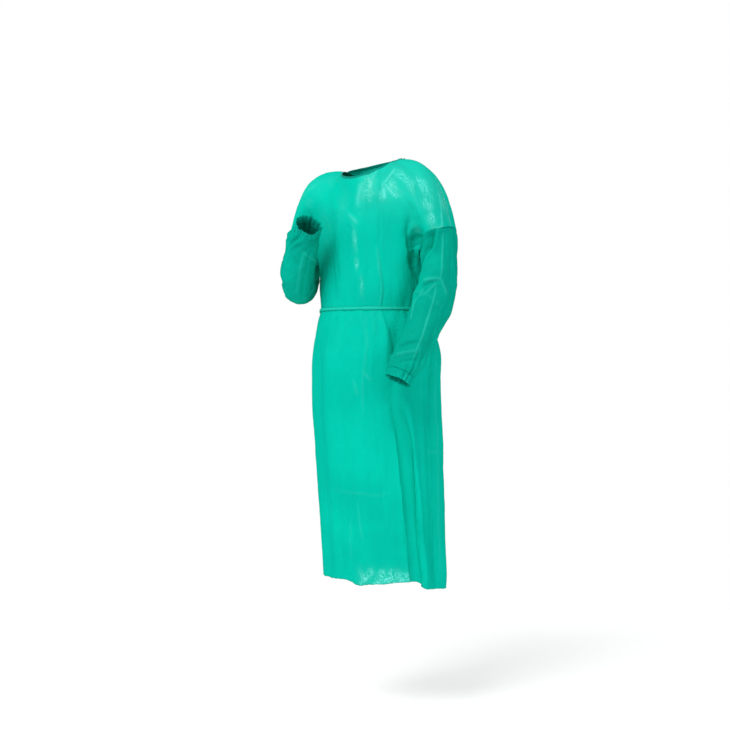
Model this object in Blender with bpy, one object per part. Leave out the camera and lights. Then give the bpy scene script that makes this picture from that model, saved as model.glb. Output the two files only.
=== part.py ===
# An isolation gown as it is worn, hollow, with nobody in it: a back-closing body with dropped
# shoulders, two long sleeves with gathered cuffs, a bound neck, and a waist tie knotted behind.
# Metres, +Z up. The origin is the middle of the neck opening, level with the shoulders.
# The front faces -Y, and +X is the side of the wearer's left arm, which hangs. The right arm,
# on -X, is bent up so that its cuff is in front of the chest.

import math

import bmesh
import bpy
import numpy as np
from mathutils.bvhtree import BVHTree

# Driving sizes
CLOTH = 0.0016
SEAM_GAP = 0.0004
UNDERARM_GAP = 0.0035
FRONT_HEM_Z = -1.157
UNDERARM_Z = -0.272
BELT_Z = -0.405
BELT_WIDTH = 0.012
BELT_THICKNESS = 0.0022
BINDING_WIDTH = 0.007
BINDING_THICKNESS = 0.0026
NECK_HALF_WIDTH = 0.090
NECK_FRONT_DEPTH = 0.103
NECK_BACK_DEPTH = 0.072
NECK_FRONT_Z = -0.046
NECK_BACK_Z = 0.010
NECK_TILT = 0.0125
BACK_OVERLAP_NECK = -0.8
BACK_OVERLAP_WAIST = 24.0
LAYER_SHIFT = 0.0045
CUFF_LENGTH = 0.023
CUFF_WAVES = 14
CUFF_WAVE_HEIGHT = 0.0016
CUFF_SHAPE = ((0.0, 1.0), (0.35, 0.965), (0.7, 0.97), (1.0, 1.03))
BELT_ROW = 13
WAIST_KNOT = (0.017, 0.009, 0.012)
NECK_KNOT = (0.012, 0.007, 0.009)
NECK_KNOT_Z = 0.009
BEHIND = 0.25
TIE_WIDTH = 0.016
WAIST_TAIL = 0.27
NECK_TAIL = 0.15
ON_CLOTH = 0.0012

# How sharply the yoke's cloth folds in beside the arm, at the armpit
ARMPIT_FOLD = 12

# How far the armhole's seam swings away from the body on its way round from the underarm
ARMHOLE_BELLY = 0.026

# A sheet's edges, each with the line of points beside it
EDGE_PLACES = {
    "first_row": (np.s_[0], np.s_[1]),
    "last_row": (np.s_[-1], np.s_[-2]),
    "first_column": (np.s_[:, 0], np.s_[:, 1]),
    "last_column": (np.s_[:, -1], np.s_[:, -2]),
}

# How the yoke's cloth arrives at the neck and at the shoulder seam, coming up from the front
NECK_ARRIVAL = np.array([0, 0.10, 0.18])
SHOULDER_ARRIVAL = np.array([0, 0.33, 0.05])

# Columns of the panels, counted on each side of the middle
NECK_COLUMNS = 7
SHOULDER_COLUMNS = 8
NECK_SHARE = 0.40
YOKE_ROWS = 12
SLEEVE_COLUMNS = 24
SLEEVE_ROWS = 24


def table(columns, rows):
    """The rows as one array for each named column."""
    return dict(zip(columns.split(), np.array(rows, float).T))


# The body's sections, from the hem up
BODY = table(
    "z half_width half_depth centre_x centre_y",
    [
        (-1.200, 0.1690, 0.149, 0.013, 0.032),
        (-0.950, 0.1725, 0.150, 0.006, 0.021),
        (-0.770, 0.1780, 0.150, 0.000, 0.013),
        (-0.600, 0.1790, 0.148, -0.003, 0.006),
        (-0.500, 0.1780, 0.140, 0.000, 0.004),
        (-0.440, 0.1640, 0.128, -0.005, 0.001),
        (-0.405, 0.1510, 0.118, -0.009, 0.000),
        (-0.360, 0.1545, 0.123, -0.009, 0.000),
        (-0.272, 0.1540, 0.126, -0.009, 0.000),
    ],
)

# Folds of the body. Angles are in degrees from the middle of the front, + towards the wearer's
# left. A fold runs from its upper end to its lower end. Height is + for a ridge, - for a trough.
FOLDS = table(
    "upper_angle lower_angle upper_z lower_z width height fade",
    [
        (31, 36, -0.10, -0.400, 5.0, 0.0060, 0.06),
        (37, 40, -0.12, -0.400, 4.5, -0.0090, 0.06),
        (38, 33, -0.42, -0.560, 6.0, 0.0070, 0.06),
        (45, 46, -0.42, -0.600, 5.5, -0.0080, 0.07),
        (40, 54, -0.56, -1.250, 9.0, -0.0200, 0.16),
        (53, 70, -0.58, -1.250, 6.5, 0.0170, 0.14),
        (16, 9, -0.45, -1.250, 10.0, 0.0060, 0.12),
        (-3, -8, -0.62, -1.250, 7.0, -0.0070, 0.15),
        (-22, -20, -0.44, -1.250, 9.0, 0.0070, 0.10),
        (-42, -38, -0.46, -1.250, 8.0, -0.0075, 0.12),
        (-62, -60, -0.45, -1.250, 9.0, 0.0060, 0.12),
        (-30, -24, -0.13, -0.395, 6.0, -0.0045, 0.08),
        (-14, -10, -0.16, -0.395, 6.0, 0.0040, 0.08),
        (5, 12, -0.14, -0.395, 6.5, 0.0045, 0.08),
        (62, 58, -0.24, -0.400, 7.0, 0.0060, 0.08),
        (-62, -56, -0.24, -0.400, 7.0, -0.0045, 0.08),
        (84, 88, -0.45, -1.250, 8.0, -0.0120, 0.14),
        (102, 108, -0.44, -1.250, 9.0, 0.0120, 0.12),
        (124, 128, -0.46, -1.250, 8.0, -0.0100, 0.12),
        (146, 144, -0.44, -1.250, 9.0, 0.0100, 0.12),
        (166, 164, -0.50, -1.250, 8.0, -0.0070, 0.12),
        (-90, -88, -0.45, -1.250, 8.0, -0.0100, 0.12),
        (-110, -114, -0.44, -1.250, 9.0, 0.0120, 0.12),
        (-132, -134, -0.46, -1.250, 8.0, -0.0090, 0.12),
        (120, 116, -0.20, -0.400, 8.0, 0.0060, 0.08),
        (150, 152, -0.18, -0.400, 8.0, -0.0050, 0.08),
        (-122, -118, -0.20, -0.400, 8.0, 0.0060, 0.08),
        (-150, -150, -0.18, -0.400, 8.0, -0.0045, 0.08),
    ],
)

# Small pleats where the waist tie draws the cloth in
PLEAT_COUNT = 30
PLEAT_HEIGHT = 0.0028
PLEAT_REACH = 0.030

# The hem hangs unevenly: its height above or below the front hem, by angle
HEM = table(
    "angle rise",
    [
        (-180, -0.012), (-120, -0.004), (-75, 0.006), (-40, 0.005), (-8, 0.004), (-2, -0.002),
        (20, 0.000), (52, 0.003), (60, 0.001), (66, -0.012), (78, -0.018), (95, -0.023), (120, -0.023),
        (180, -0.012),
    ],
)

# Each side of the yoke, with x measured outwards. The seam runs from the neck over the shoulder
# to the top of the armhole.
SIDES = {
    "left": {
        "sign": 1,
        "seam": table(
            "out y z",
            [
                (0.128, 0.000, 0.0060), (0.163, 0.000, -0.0145), (0.191, 0.000, -0.0450),
                (0.218, -0.004, -0.1000), (0.248, -0.012, -0.1840),
            ],
        ),
        "armhole_depth": 0.076,
        "armhole_lift": 0.056,
    },
    "right": {
        "sign": -1,
        "seam": table(
            "out y z",
            [
                (0.126, 0.000, -0.0110), (0.162, 0.000, -0.0150), (0.195, 0.000, -0.0300),
                (0.225, -0.008, -0.0880), (0.242, -0.020, -0.1620),
            ],
        ),
        "armhole_depth": 0.072,
        "armhole_lift": 0.050,
    },
}

# The sleeves' middle lines and sections, from the armhole to the cuff. Width is half the section
# across the arm, away from the body, and depth is half of it from front to back.
SLEEVES = {
    "left": table(
        "x y z width depth",
        [
            (0.1970, -0.008, -0.215, 0.052, 0.074),
            (0.2060, -0.018, -0.290, 0.051, 0.074),
            (0.2130, -0.040, -0.365, 0.053, 0.066),
            (0.2050, -0.082, -0.440, 0.050, 0.056),
            (0.1890, -0.119, -0.512, 0.045, 0.047),
            (0.1750, -0.144, -0.563, 0.042, 0.042),
            (0.1700, -0.152, -0.581, 0.034, 0.035),
        ],
    ),
    "right": table(
        "x y z width depth",
        [
            (-0.2070, -0.014, -0.205, 0.046, 0.070),
            (-0.2180, -0.030, -0.278, 0.046, 0.060),
            (-0.2020, -0.072, -0.339, 0.047, 0.050),
            (-0.1720, -0.130, -0.318, 0.045, 0.046),
            (-0.1440, -0.165, -0.268, 0.046, 0.046),
            (-0.1120, -0.192, -0.213, 0.042, 0.042),
            (-0.0970, -0.204, -0.195, 0.036, 0.036),
        ],
    ),
}

# Creases of the sleeves: where along the sleeve (0 armhole, 1 cuff), round it (0 outside, 90
# front, 180 inside), how far they lean, their widths and their height
SLEEVE_FOLDS = {
    "left": table(
        "along round lean along_width round_width height",
        [
            (0.30, 150, 60, 0.05, 60, -0.0060),
            (0.40, 120, 80, 0.04, 55, 0.0050),
            (0.48, 100, 60, 0.04, 60, -0.0070),
            (0.56, 80, -50, 0.04, 60, 0.0050),
            (0.66, 110, 60, 0.05, 60, -0.0045),
            (0.86, 90, 50, 0.03, 70, -0.0040),
            (0.92, 100, 50, 0.02, 80, 0.0035),
            (0.20, 250, 0, 0.06, 70, -0.0060),
            (0.50, 260, 0, 0.06, 60, 0.0050),
        ],
    ),
    "right": table(
        "along round lean along_width round_width height",
        [
            (0.22, 60, 40, 0.05, 60, -0.0050),
            (0.34, 20, -60, 0.04, 60, -0.0050),
            (0.44, 40, 40, 0.04, 60, 0.0050),
            (0.56, 20, -40, 0.04, 60, -0.0045),
            (0.70, 40, 60, 0.04, 60, 0.0040),
            (0.86, 60, 50, 0.03, 70, -0.0040),
            (0.92, 40, 50, 0.02, 80, 0.0035),
            (0.25, 250, 0, 0.06, 70, 0.0050),
        ],
    ),
}


# How much of the room inside a sleeve's bend is kept free, so that its cloth doesn't cross itself
BEND_ROOM = 1.8

# The hanging sleeve's front folds over below the seam: the edge of the fold, as an angle round the
# sleeve, and how far the cloth beyond it falls in
RECESS = table(
    "along ridge depth",
    [
        (0.00, 58, 0.000), (0.05, 60, 0.012), (0.11, 65, 0.020), (0.17, 80, 0.020),
        (0.30, 115, 0.014), (0.42, 145, 0.005), (0.50, 160, 0.000), (1.00, 160, 0.000),
    ],
)


def along_curve(at, knots, values):
    """A smooth cubic through the values, with each slope taken from its neighbours."""
    knots, values = np.asarray(knots, float), np.asarray(values, float)
    slopes = np.gradient(values, knots, axis=0)
    at = np.clip(np.asarray(at, float), knots[0], knots[-1])
    left = np.clip(np.searchsorted(knots, at, side="right") - 1, 0, len(knots) - 2)
    step = knots[left + 1] - knots[left]
    u = (at - knots[left]) / step
    if values.ndim > 1:
        u, step = u[..., None], step[..., None]
    return hermite(
        values[left], slopes[left] * step, values[left + 1], slopes[left + 1] * step, u
    )


def hermite(start, start_slope, end, end_slope, u):
    """The cubic between two ends with the given slopes."""
    return (
        start * (2 * u**3 - 3 * u**2 + 1)
        + start_slope * (u**3 - 2 * u**2 + u)
        + end * (3 * u**2 - 2 * u**3)
        + end_slope * (u**3 - u**2)
    )


def ease(low, high, value):
    """0 up to low, 1 from high, and smooth between them."""
    u = np.clip((np.asarray(value, float) - low) / (high - low), 0, 1)
    return u * u * (3 - 2 * u)


def unit(vectors):
    return vectors / np.maximum(np.linalg.norm(vectors, axis=-1, keepdims=True), 1e-12)


def turn_between(angle, other):
    """The smallest turn from one angle to another, in degrees."""
    return (angle - other + 180) % 360 - 180


def fold_height(angle, z):
    """How far the folds and pleats move the body's cloth outwards."""
    height = np.zeros(np.broadcast(angle, z).shape)
    for upper, lower, top, bottom, width, rise, fade in zip(*FOLDS.values()):
        share = np.clip((top - z) / (top - bottom), 0, 1)
        away = turn_between(angle, upper + (lower - upper) * share) / width
        reach = (1 - ease(top - fade, top, z)) * ease(bottom, bottom + fade, z)
        height = height + rise * reach * np.exp(-away * away)
    off_belt = np.abs(z - BELT_Z) / PLEAT_REACH
    pleats = np.cos(np.radians(angle) * PLEAT_COUNT) * off_belt * np.exp(1 - off_belt)
    return height + PLEAT_HEIGHT * pleats


def body_point(angle, z):
    """A point of the body's cloth at an angle from the middle of the front, and a height."""
    angle, z = np.broadcast_arrays(np.asarray(angle, float), np.asarray(z, float))
    half_width, half_depth, centre_x, centre_y = (
        along_curve(z, BODY["z"], BODY[name])
        for name in ("half_width", "half_depth", "centre_x", "centre_y")
    )
    sine, cosine = np.sin(np.radians(angle)), np.cos(np.radians(angle))
    outward = unit(np.stack([half_depth * sine, -half_width * cosine, 0 * z], axis=-1))
    middle = np.stack(
        [centre_x + half_width * sine, centre_y - half_depth * cosine, z], axis=-1
    )
    return middle + outward * fold_height(angle, z)[..., None]


def skirt_rows():
    """The heights of the rows below the underarm, from the hem up, closest at the waist."""
    half = BELT_WIDTH / 2
    return np.concatenate(
        [
            np.linspace(FRONT_HEM_Z, BELT_Z - 0.09, 11),
            BELT_Z + np.array([-0.055, -0.030, -half, half, 0.030, 0.060]),
            np.linspace(BELT_Z + 0.095, UNDERARM_Z, 2),
        ]
    )


def hem_height(angle, z):
    """The row's height, moved by the uneven hem, which fades out upwards."""
    rise = along_curve(turn_between(angle, 0), HEM["angle"], HEM["rise"])
    return z + rise * (1 - ease(FRONT_HEM_Z, FRONT_HEM_Z + 0.35, z))


def column_shares():
    """The columns from the middle (0) to the side (1): those under the neck, then the shoulder's."""
    return np.concatenate(
        [
            np.linspace(0, NECK_SHARE, NECK_COLUMNS + 1),
            NECK_SHARE + (1 - NECK_SHARE) * (1 - np.linspace(1, 0, SHOULDER_COLUMNS + 1)[1:] ** 1.5),
        ]
    )


def neck_point(angle):
    """The neck seam, at an angle from the middle of the front."""
    sine, cosine = np.sin(np.radians(angle)), np.cos(np.radians(angle))
    depth = np.where(cosine > 0, NECK_FRONT_DEPTH, NECK_BACK_DEPTH)
    level = np.where(cosine > 0, NECK_FRONT_Z, NECK_BACK_Z) * np.abs(cosine) ** 1.6
    return np.stack([NECK_HALF_WIDTH * sine, -depth * cosine, level + NECK_TILT * sine], axis=-1)


def shoulder_seam(side, share):
    """The shoulder seam from the neck (0) to the top of the armhole (1)."""
    facts = SIDES[side]
    seam = facts["seam"]
    points = np.stack([facts["sign"] * seam["out"], seam["y"], seam["z"]], axis=-1)
    points = np.vstack([neck_point(90.0 * facts["sign"]), points])
    steps = np.linalg.norm(np.diff(points, axis=0), axis=1)
    knots = np.concatenate([[0], np.cumsum(steps)]) / steps.sum()
    return along_curve(share, knots, points)


def armhole_point(side, angle):
    """The armhole seam: 0 at its top, 90 in front, 180 under the arm, 270 behind."""
    facts = SIDES[side]
    top = shoulder_seam(side, np.array(1.0))
    under = body_point(90.0 * facts["sign"], UNDERARM_Z)
    middle, reach = (top + under) / 2, (top - under) / 2
    sine, cosine = np.sin(np.radians(angle)), np.cos(np.radians(angle))
    ring = middle + cosine[..., None] * reach
    ring = ring + sine[..., None] * np.array([0, -facts["armhole_depth"], 0])
    away = np.array([facts["sign"] * ARMHOLE_BELLY, 0, facts["armhole_lift"]])
    return ring + (np.abs(sine) * (1 - cosine) / 2)[..., None] * away


def overlap_angle(z):
    """How far a back panel passes the middle of the back, in degrees."""
    share = 1 - ease(UNDERARM_Z - 0.10, -0.02, z)
    return BACK_OVERLAP_NECK + (BACK_OVERLAP_WAIST - BACK_OVERLAP_NECK) * share


def yoke(side, front):
    """The half panel above the underarm, from its four edges: rows upwards, columns outwards."""
    sign = SIDES[side]["sign"]
    q = column_shares()
    t = np.linspace(0, 1, YOKE_ROWS + 1)
    over = 0.0 if front else overlap_angle(UNDERARM_Z)
    low_angle = q * 90 if front else 180 + over - q * (90 + over)
    bottom = body_point(sign * low_angle, UNDERARM_Z)
    neck_over = 0.0 if front else BACK_OVERLAP_NECK
    neck_share = np.clip(q / NECK_SHARE, 0, 1)
    neck_angle = neck_share * 90 if front else 180 + neck_over - neck_share * (90 + neck_over)
    top = np.where(
        (q <= NECK_SHARE)[:, None],
        neck_point(sign * neck_angle),
        shoulder_seam(side, np.clip((q - NECK_SHARE) / (1 - NECK_SHARE), 0, 1)),
    )
    rise = np.stack([0 * q, 0 * q, 0.30 + 0 * q], axis=-1)
    mix = ease(0.1, NECK_SHARE + 0.1, q)[:, None]
    arrive = NECK_ARRIVAL * (1 - mix) + SHOULDER_ARRIVAL * mix
    arrive = arrive * np.array([1, 1 if front else -1, 1])
    sheet = hermite(bottom[None], rise[None], top[None], arrive[None], t[:, None, None])
    turn = 180 * (1 - t) if front else 180 + 180 * t
    edge = armhole_point(side, turn)
    power = 1.3 + ARMPIT_FOLD * ease(0.05, 0.3, t) * (1 - ease(0.15, 0.55, t))
    pull = q[None, :] ** power[:, None]
    sheet = sheet + pull[..., None] * (edge[:, None] - sheet[:, -1:])
    return fold_yoke(sheet, sign * low_angle, t)


def fold_yoke(sheet, angle, t):
    """Carries the body's folds on up the yoke, fading towards the shoulder and the edges."""
    z = sheet[..., 2]
    columns = np.broadcast_to(angle, z.shape)
    lift = fold_height(columns, np.maximum(z, UNDERARM_Z))
    lift = lift * ease(0, 0.2, t)[:, None] * (1 - ease(0.75, 1, t))[:, None]
    outward = np.stack([np.sin(np.radians(columns)), -np.cos(np.radians(columns)), 0 * z], -1)
    return sheet + outward * (lift * (np.arange(z.shape[1]) < z.shape[1] - 1))[..., None]


def half_panel(side, front):
    """Half the body, from the hem to the shoulder: rows upwards, columns outwards."""
    sign = SIDES[side]["sign"]
    q = column_shares()[None, :]
    z = skirt_rows()[:, None]
    over = 0.0 if front else overlap_angle(z)
    angle = sign * (q * 90 if front else 180 + over - q * (90 + over)) + 0 * z
    low = body_point(angle, hem_height(angle, z + 0 * angle))
    return np.vstack([low[:-1], yoke(side, front)])


def smoothed(points, shares):
    """Eases the bend where the yoke begins, with the edges and the armpits held."""
    points = points.copy()
    join = len(skirt_rows()) - 1
    rows = np.arange(1, len(points) - 1)
    weight = np.clip(1 - np.abs(rows - join) / 4, 0, 1)[:, None] * 0.5
    weight = (weight * (1 - ease(0.55, 0.85, np.abs(shares[1:-1]))))[..., None]
    for _ in range(4):
        around = (points[:-2, 1:-1] + points[2:, 1:-1] + points[1:-1, :-2] + points[1:-1, 2:]) / 4
        points[1:-1, 1:-1] += weight * (around - points[1:-1, 1:-1])
    return points


def body_sheets():
    """The front, and the two backs, one lying over the other behind."""
    right, left = half_panel("right", True), half_panel("left", True)
    middle = (right[:, :1] + left[:, :1]) / 2
    shares = column_shares()
    front = np.concatenate([right[:, :0:-1], middle, left[:, 1:]], axis=1)
    sheets = {"front_panel": smoothed(front, np.concatenate([-shares[:0:-1], shares]))}
    row = np.arange(len(sheets["front_panel"])) - len(sheets["front_panel"]) + 1
    for side, shift in (("left", LAYER_SHIFT), ("right", -LAYER_SHIFT)):
        points = smoothed(half_panel(side, False), shares)
        behind = unit(points * np.array([1, 1, 0]) + np.array([0, 0.05, 0]))
        fade = (1 - shares) ** 0.5 * (1 - ease(-YOKE_ROWS // 4, 0, row))[:, None]
        sheets[f"back_{side}_panel"] = points + behind * (shift * fade)[..., None]
    sheets["back_left_panel"] = sheets["back_left_panel"][:, ::-1]
    return sheets


def frames_along(line):
    """Directions across a line: outwards and forwards, turned as little as possible."""
    tangents = unit(np.gradient(line, axis=0))
    outs = [np.array([math.copysign(1.0, line[0, 0]), 0, 0])]
    for tangent in tangents:
        out = outs[-1] - tangent * (outs[-1] @ tangent)
        outs.append(out / np.linalg.norm(out))
    outs = np.array(outs[1:])
    return tangents, outs, unit(np.cross(tangents, outs)) * math.copysign(1.0, line[0, 0])


def sleeve_axis(side, count=120):
    """Points down the middle of a sleeve, evenly spaced, with the section at each."""
    facts = SLEEVES[side]
    rows = np.stack([facts[name] for name in ("x", "y", "z", "width", "depth")], axis=-1)
    steps = np.linalg.norm(np.diff(rows[:, :3], axis=0), axis=1)
    knots = np.concatenate([[0], np.cumsum(steps)])
    even = along_curve(np.linspace(0, knots[-1], count), knots, rows)
    return even


def sleeve_surface(side, columns=SLEEVE_COLUMNS, rows=SLEEVE_ROWS):
    """The sleeve's cloth from the armhole to the cuff seam: rows along it, columns round it."""
    axis = sleeve_axis(side)
    line = axis[:, :3]
    lengths = np.concatenate([[0], np.cumsum(np.linalg.norm(np.diff(line, axis=0), axis=1))])
    tangents, outs, fronts = frames_along(line)
    angle = np.linspace(0, 360, columns + 1)[:-1]
    hole = armhole_point(side, angle)
    first = (hole - line[0]) @ tangents[0]
    s = np.linspace(0, 1, rows + 1)[:, None]
    at = first[None, :] + (lengths[-1] - first[None, :]) * s
    surface = on_tube(at, angle, lengths, axis, tangents, outs, fronts, side, s)
    start = on_tube(first[None, :], angle, lengths, axis, tangents, outs, fronts, side, 0 * s[:1])
    fade = 1 - ease(0, 0.19 + 0.11 * np.cos(np.radians(angle)), s)
    return surface + (hole[None] - start) * fade[..., None]


def nearest_bend(tangents, lengths):
    """The sharpest bend near each point of a line, weaker with the distance to it."""
    bends = np.gradient(tangents, lengths[1], axis=0)
    sharp = np.linalg.norm(bends, axis=1)
    apart = np.abs(lengths[:, None] - lengths[None, :])
    strength = sharp / (1 + 0.75 * apart * sharp)
    best = strength.argmax(axis=1)
    return unit(bends[best]) * strength.max(axis=1)[:, None]


def on_tube(at, angle, lengths, axis, tangents, outs, fronts, side, s):
    """Points of the tube round the sleeve's middle line, at lengths and angles."""
    inside = np.clip(at, 0, lengths[-1])
    spare = (at - inside)[..., None]

    def take(values):
        return np.stack([np.interp(inside, lengths, column) for column in values.T], axis=-1)

    centre, across, forward = take(axis[:, :3]), unit(take(outs)), unit(take(fronts))
    section = take(axis[:, 3:])
    bend = take(nearest_bend(tangents, lengths))
    turn = np.radians(angle)[None, :]
    lift = sleeve_fold_height(side, s, np.broadcast_to(angle[None, :], at.shape))
    width, depth = section[..., 0] + lift, section[..., 1] + lift
    spoke = across * (width * np.cos(turn))[..., None] + forward * (depth * np.sin(turn))[..., None]
    crowding = np.maximum((spoke * bend).sum(-1), 0) * BEND_ROOM
    spoke = spoke / ((1 + crowding**4) ** 0.25)[..., None]
    return centre + take(tangents) * spare + spoke


def sleeve_fold_height(side, s, angle):
    """How far the sleeve's creases move its cloth outwards."""
    height = np.zeros(np.broadcast(s, angle).shape)
    for along, around, lean, wide, spread, rise in zip(*SLEEVE_FOLDS[side].values()):
        off_round = turn_between(angle, around)
        middle = along + lean / 1000 * off_round / 60
        height = height + rise * np.exp(
            -(((s - middle) / wide) ** 2) - (off_round / spread) ** 2
        )
    if side == "left":
        ridge = np.interp(s, RECESS["along"], RECESS["ridge"])
        depth = np.interp(s, RECESS["along"], RECESS["depth"])
        height = height - depth * ease(ridge, ridge + 26, angle) * (1 - ease(190, 250, angle))
    return height


def cuff_surface(side, sleeve):
    """The gathered cuff, which carries on from the sleeve's last ring, and its outward turn."""
    ring = sleeve[-1]
    centre = ring.mean(axis=0)
    ahead = unit(centre - sleeve[-3].mean(axis=0))
    count = CUFF_WAVES * 4
    angle = np.linspace(0, 360, count + 1)[:-1]
    steps = np.linspace(0, 360, len(ring) + 1)
    closed = np.vstack([ring, ring[:1]]) - centre
    spokes = np.stack([np.interp(angle, steps, column) for column in closed.T], axis=-1)
    tilt = (spokes @ ahead)[:, None]
    spokes = spokes - ahead * tilt
    rows = []
    for share, size in CUFF_SHAPE:
        wave = 1 + CUFF_WAVE_HEIGHT / 0.034 * np.cos(np.radians(angle) * CUFF_WAVES)
        start = SEAM_GAP + CUFF_LENGTH * share + tilt * (1 - share)
        rows.append(centre + ahead * start + spokes * (size * wave)[:, None])
    return np.array(rows), np.broadcast_to(unit(spokes), (len(rows), count, 3))


def face_normals(points, wraps):
    """Each quad's normal, weighted by its area."""
    if wraps:
        points = np.concatenate([points, points[:, :1]], axis=1)
    across = points[1:, 1:] - points[:-1, :-1]
    other = points[:-1, 1:] - points[1:, :-1]
    return np.cross(across, other)


def edge_places(points, wraps):
    """The places of a sheet's edge points."""
    edge = np.ones(points.shape[:2], bool)
    edge[1:-1, (slice(None) if wraps else slice(1, -1))] = False
    return list(zip(*np.nonzero(edge)))


def shared_normals(sheets, tubes):
    """Outward normals of every sheet's points, shared where sheets meet on a seam."""
    totals, found = {}, {}
    for name, points in sheets.items():
        wraps = name in tubes
        faces = face_normals(points, wraps)
        middle = points.mean(axis=(0, 1)) if not wraps else points.mean(axis=1)[:-1, None]
        cells = (points[1:, :1] * 0 + (points[1:] + points[:-1]) / 2)[:, : faces.shape[1]]
        if (faces * (cells - middle)).sum() < 0:
            faces = -faces
        normals = np.zeros_like(points)
        rows, columns = faces.shape[:2]
        for row in range(rows):
            for row_step, column_step in ((0, 0), (0, 1), (1, 0), (1, 1)):
                places = (np.arange(columns) + column_step) % points.shape[1]
                normals[row + row_step, places] += faces[row]
        found[name] = normals
        for place in edge_places(points, wraps):
            key = tuple(np.round(points[place], 5) + 0.0)
            totals[key] = totals.get(key, 0) + unit(normals[place])
    for name, points in sheets.items():
        for place in edge_places(points, name in tubes):
            found[name][place] = totals[tuple(np.round(points[place], 5) + 0.0)]
        found[name] = unit(found[name])
    return found


def material(name, colour, roughness):
    found = bpy.data.materials.get(name) or bpy.data.materials.new(name)
    found.use_nodes = True
    shader = found.node_tree.nodes["Principled BSDF"]
    shader.inputs["Base Color"].default_value = (*colour, 1)
    shader.inputs["Roughness"].default_value = roughness
    shader.inputs["Metallic"].default_value = 0
    return found


def add_object(name, mesh, finish, collection):
    thing = bpy.data.objects.new(name, mesh)
    collection.objects.link(thing)
    mesh.materials.append(finish)
    mesh.shade_smooth()
    mesh.set_sharp_from_angle(angle=math.radians(50))
    return thing


def flatter_halves(a, b, c, d):
    """The two triangles of a quad, cut across the way that leaves them flatter, or shorter."""
    ways = (((0, 1, 2), (0, 2, 3)), ((0, 1, 3), (1, 2, 3)))
    first = unit(np.cross(b - a, c - a)) @ unit(np.cross(c - a, d - a))
    second = unit(np.cross(b - a, d - a)) @ unit(np.cross(c - b, d - b))
    if abs(first - second) < 0.1:
        return ways[int(np.linalg.norm(a - c) > np.linalg.norm(b - d))]
    return ways[int(second > first)]


def wall(name, outer, inner, wraps, finish, collection):
    """A closed wall between an outer and an inner sheet of points, rim and all."""
    rows, columns = outer.shape[:2]
    points = np.concatenate([outer.reshape(-1, 3), inner.reshape(-1, 3)])
    behind = rows * columns
    last = columns if wraps else columns - 1
    faces = []

    def at(row, column, layer=0):
        return layer * behind + row * columns + column % columns

    for row in range(rows - 1):
        for column in range(last):
            corners = [
                at(row, column), at(row, column + 1),
                at(row + 1, column + 1), at(row + 1, column),
            ]
            for half in flatter_halves(*(points[i] for i in corners)):
                face = [corners[i] for i in half]
                faces.append(face)
                faces.append([i + behind for i in reversed(face)])
    for column in range(last):
        faces.append([at(0, column + 1), at(0, column), at(0, column, 1), at(0, column + 1, 1)])
        top = rows - 1
        faces.append(
            [at(top, column), at(top, column + 1), at(top, column + 1, 1), at(top, column, 1)]
        )
    if not wraps:
        end = columns - 1
        for row in range(rows - 1):
            faces.append([at(row, 0), at(row + 1, 0), at(row + 1, 0, 1), at(row, 0, 1)])
            faces.append([at(row + 1, end), at(row, end), at(row, end, 1), at(row + 1, end, 1)])
    mesh = bpy.data.meshes.new(name)
    mesh.from_pydata(points.tolist(), [], faces)
    shape = bmesh.new()
    shape.from_mesh(mesh)
    bmesh.ops.recalc_face_normals(shape, faces=shape.faces)
    shape.to_mesh(mesh)
    shape.free()
    return add_object(name, mesh, finish, collection)


def trimmed(points, normals, edges, wraps):
    """The sheet with some of its edges drawn back, across the seam, by half a seam's gap."""
    drawn = points.copy()
    for edge in edges:
        place, beside = EDGE_PLACES[edge]
        line = points[place]
        around = np.concatenate([line[-1:], line, line[:1]]) if wraps else line
        tangent = np.gradient(around, axis=0)[1:-1] if wraps else np.gradient(around, axis=0)
        across = unit(np.cross(tangent, normals[place]))
        side = np.sign(((points[beside] - line) * across).sum(-1, keepdims=True).sum())
        drawn[place] += side * across * SEAM_GAP / 2
    if wraps:
        angle = np.linspace(0, 360, points.shape[1] + 1)[:-1]
        under = ease(0.3, 0.9, (1 - np.cos(np.radians(angle))) / 2)[:, None]
        drawn[0] += unit(points[1] - points[0]) * UNDERARM_GAP * under
    return drawn


def hull_of(*things):
    """A search tree for each object, to find the outermost surface behind the back."""
    return [
        BVHTree.FromPolygons([v.co for v in t.data.vertices], [p.vertices for p in t.data.polygons])
        for t in things
    ]


def back_surface(trees, x, z, around):
    """How far back the objects reach near x and z."""
    hits = [
        tree.ray_cast((x + right * around, BEHIND, z + up * around), (0, -1, 0))[0]
        for tree in trees
        for right in (-1, 0, 1)
        for up in (-1, 0, 1)
    ]
    return max((hit.y for hit in hits if hit), default=-1.0)


def waist_belt(sheets, normals):
    """The points of the waist tie's inner side, on the panels' own points at the waist."""
    rows = slice(BELT_ROW, BELT_ROW + 2)
    clear = int(np.argmax(column_shares() > 2 * BACK_OVERLAP_WAIST / (90 + BACK_OVERLAP_WAIST)))
    parts = [
        (name, columns)
        for name, columns in (
            ("front_panel", slice(0, -1)),
            ("back_left_panel", slice(0, None)),
            ("back_right_panel", slice(clear + 1, -1)),
        )
    ]
    points = np.concatenate([sheets[name][rows, columns] for name, columns in parts], axis=1)
    outward = np.concatenate([normals[name][rows, columns] for name, columns in parts], axis=1)
    outward[..., 2] = 0
    return points, unit(outward)


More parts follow.
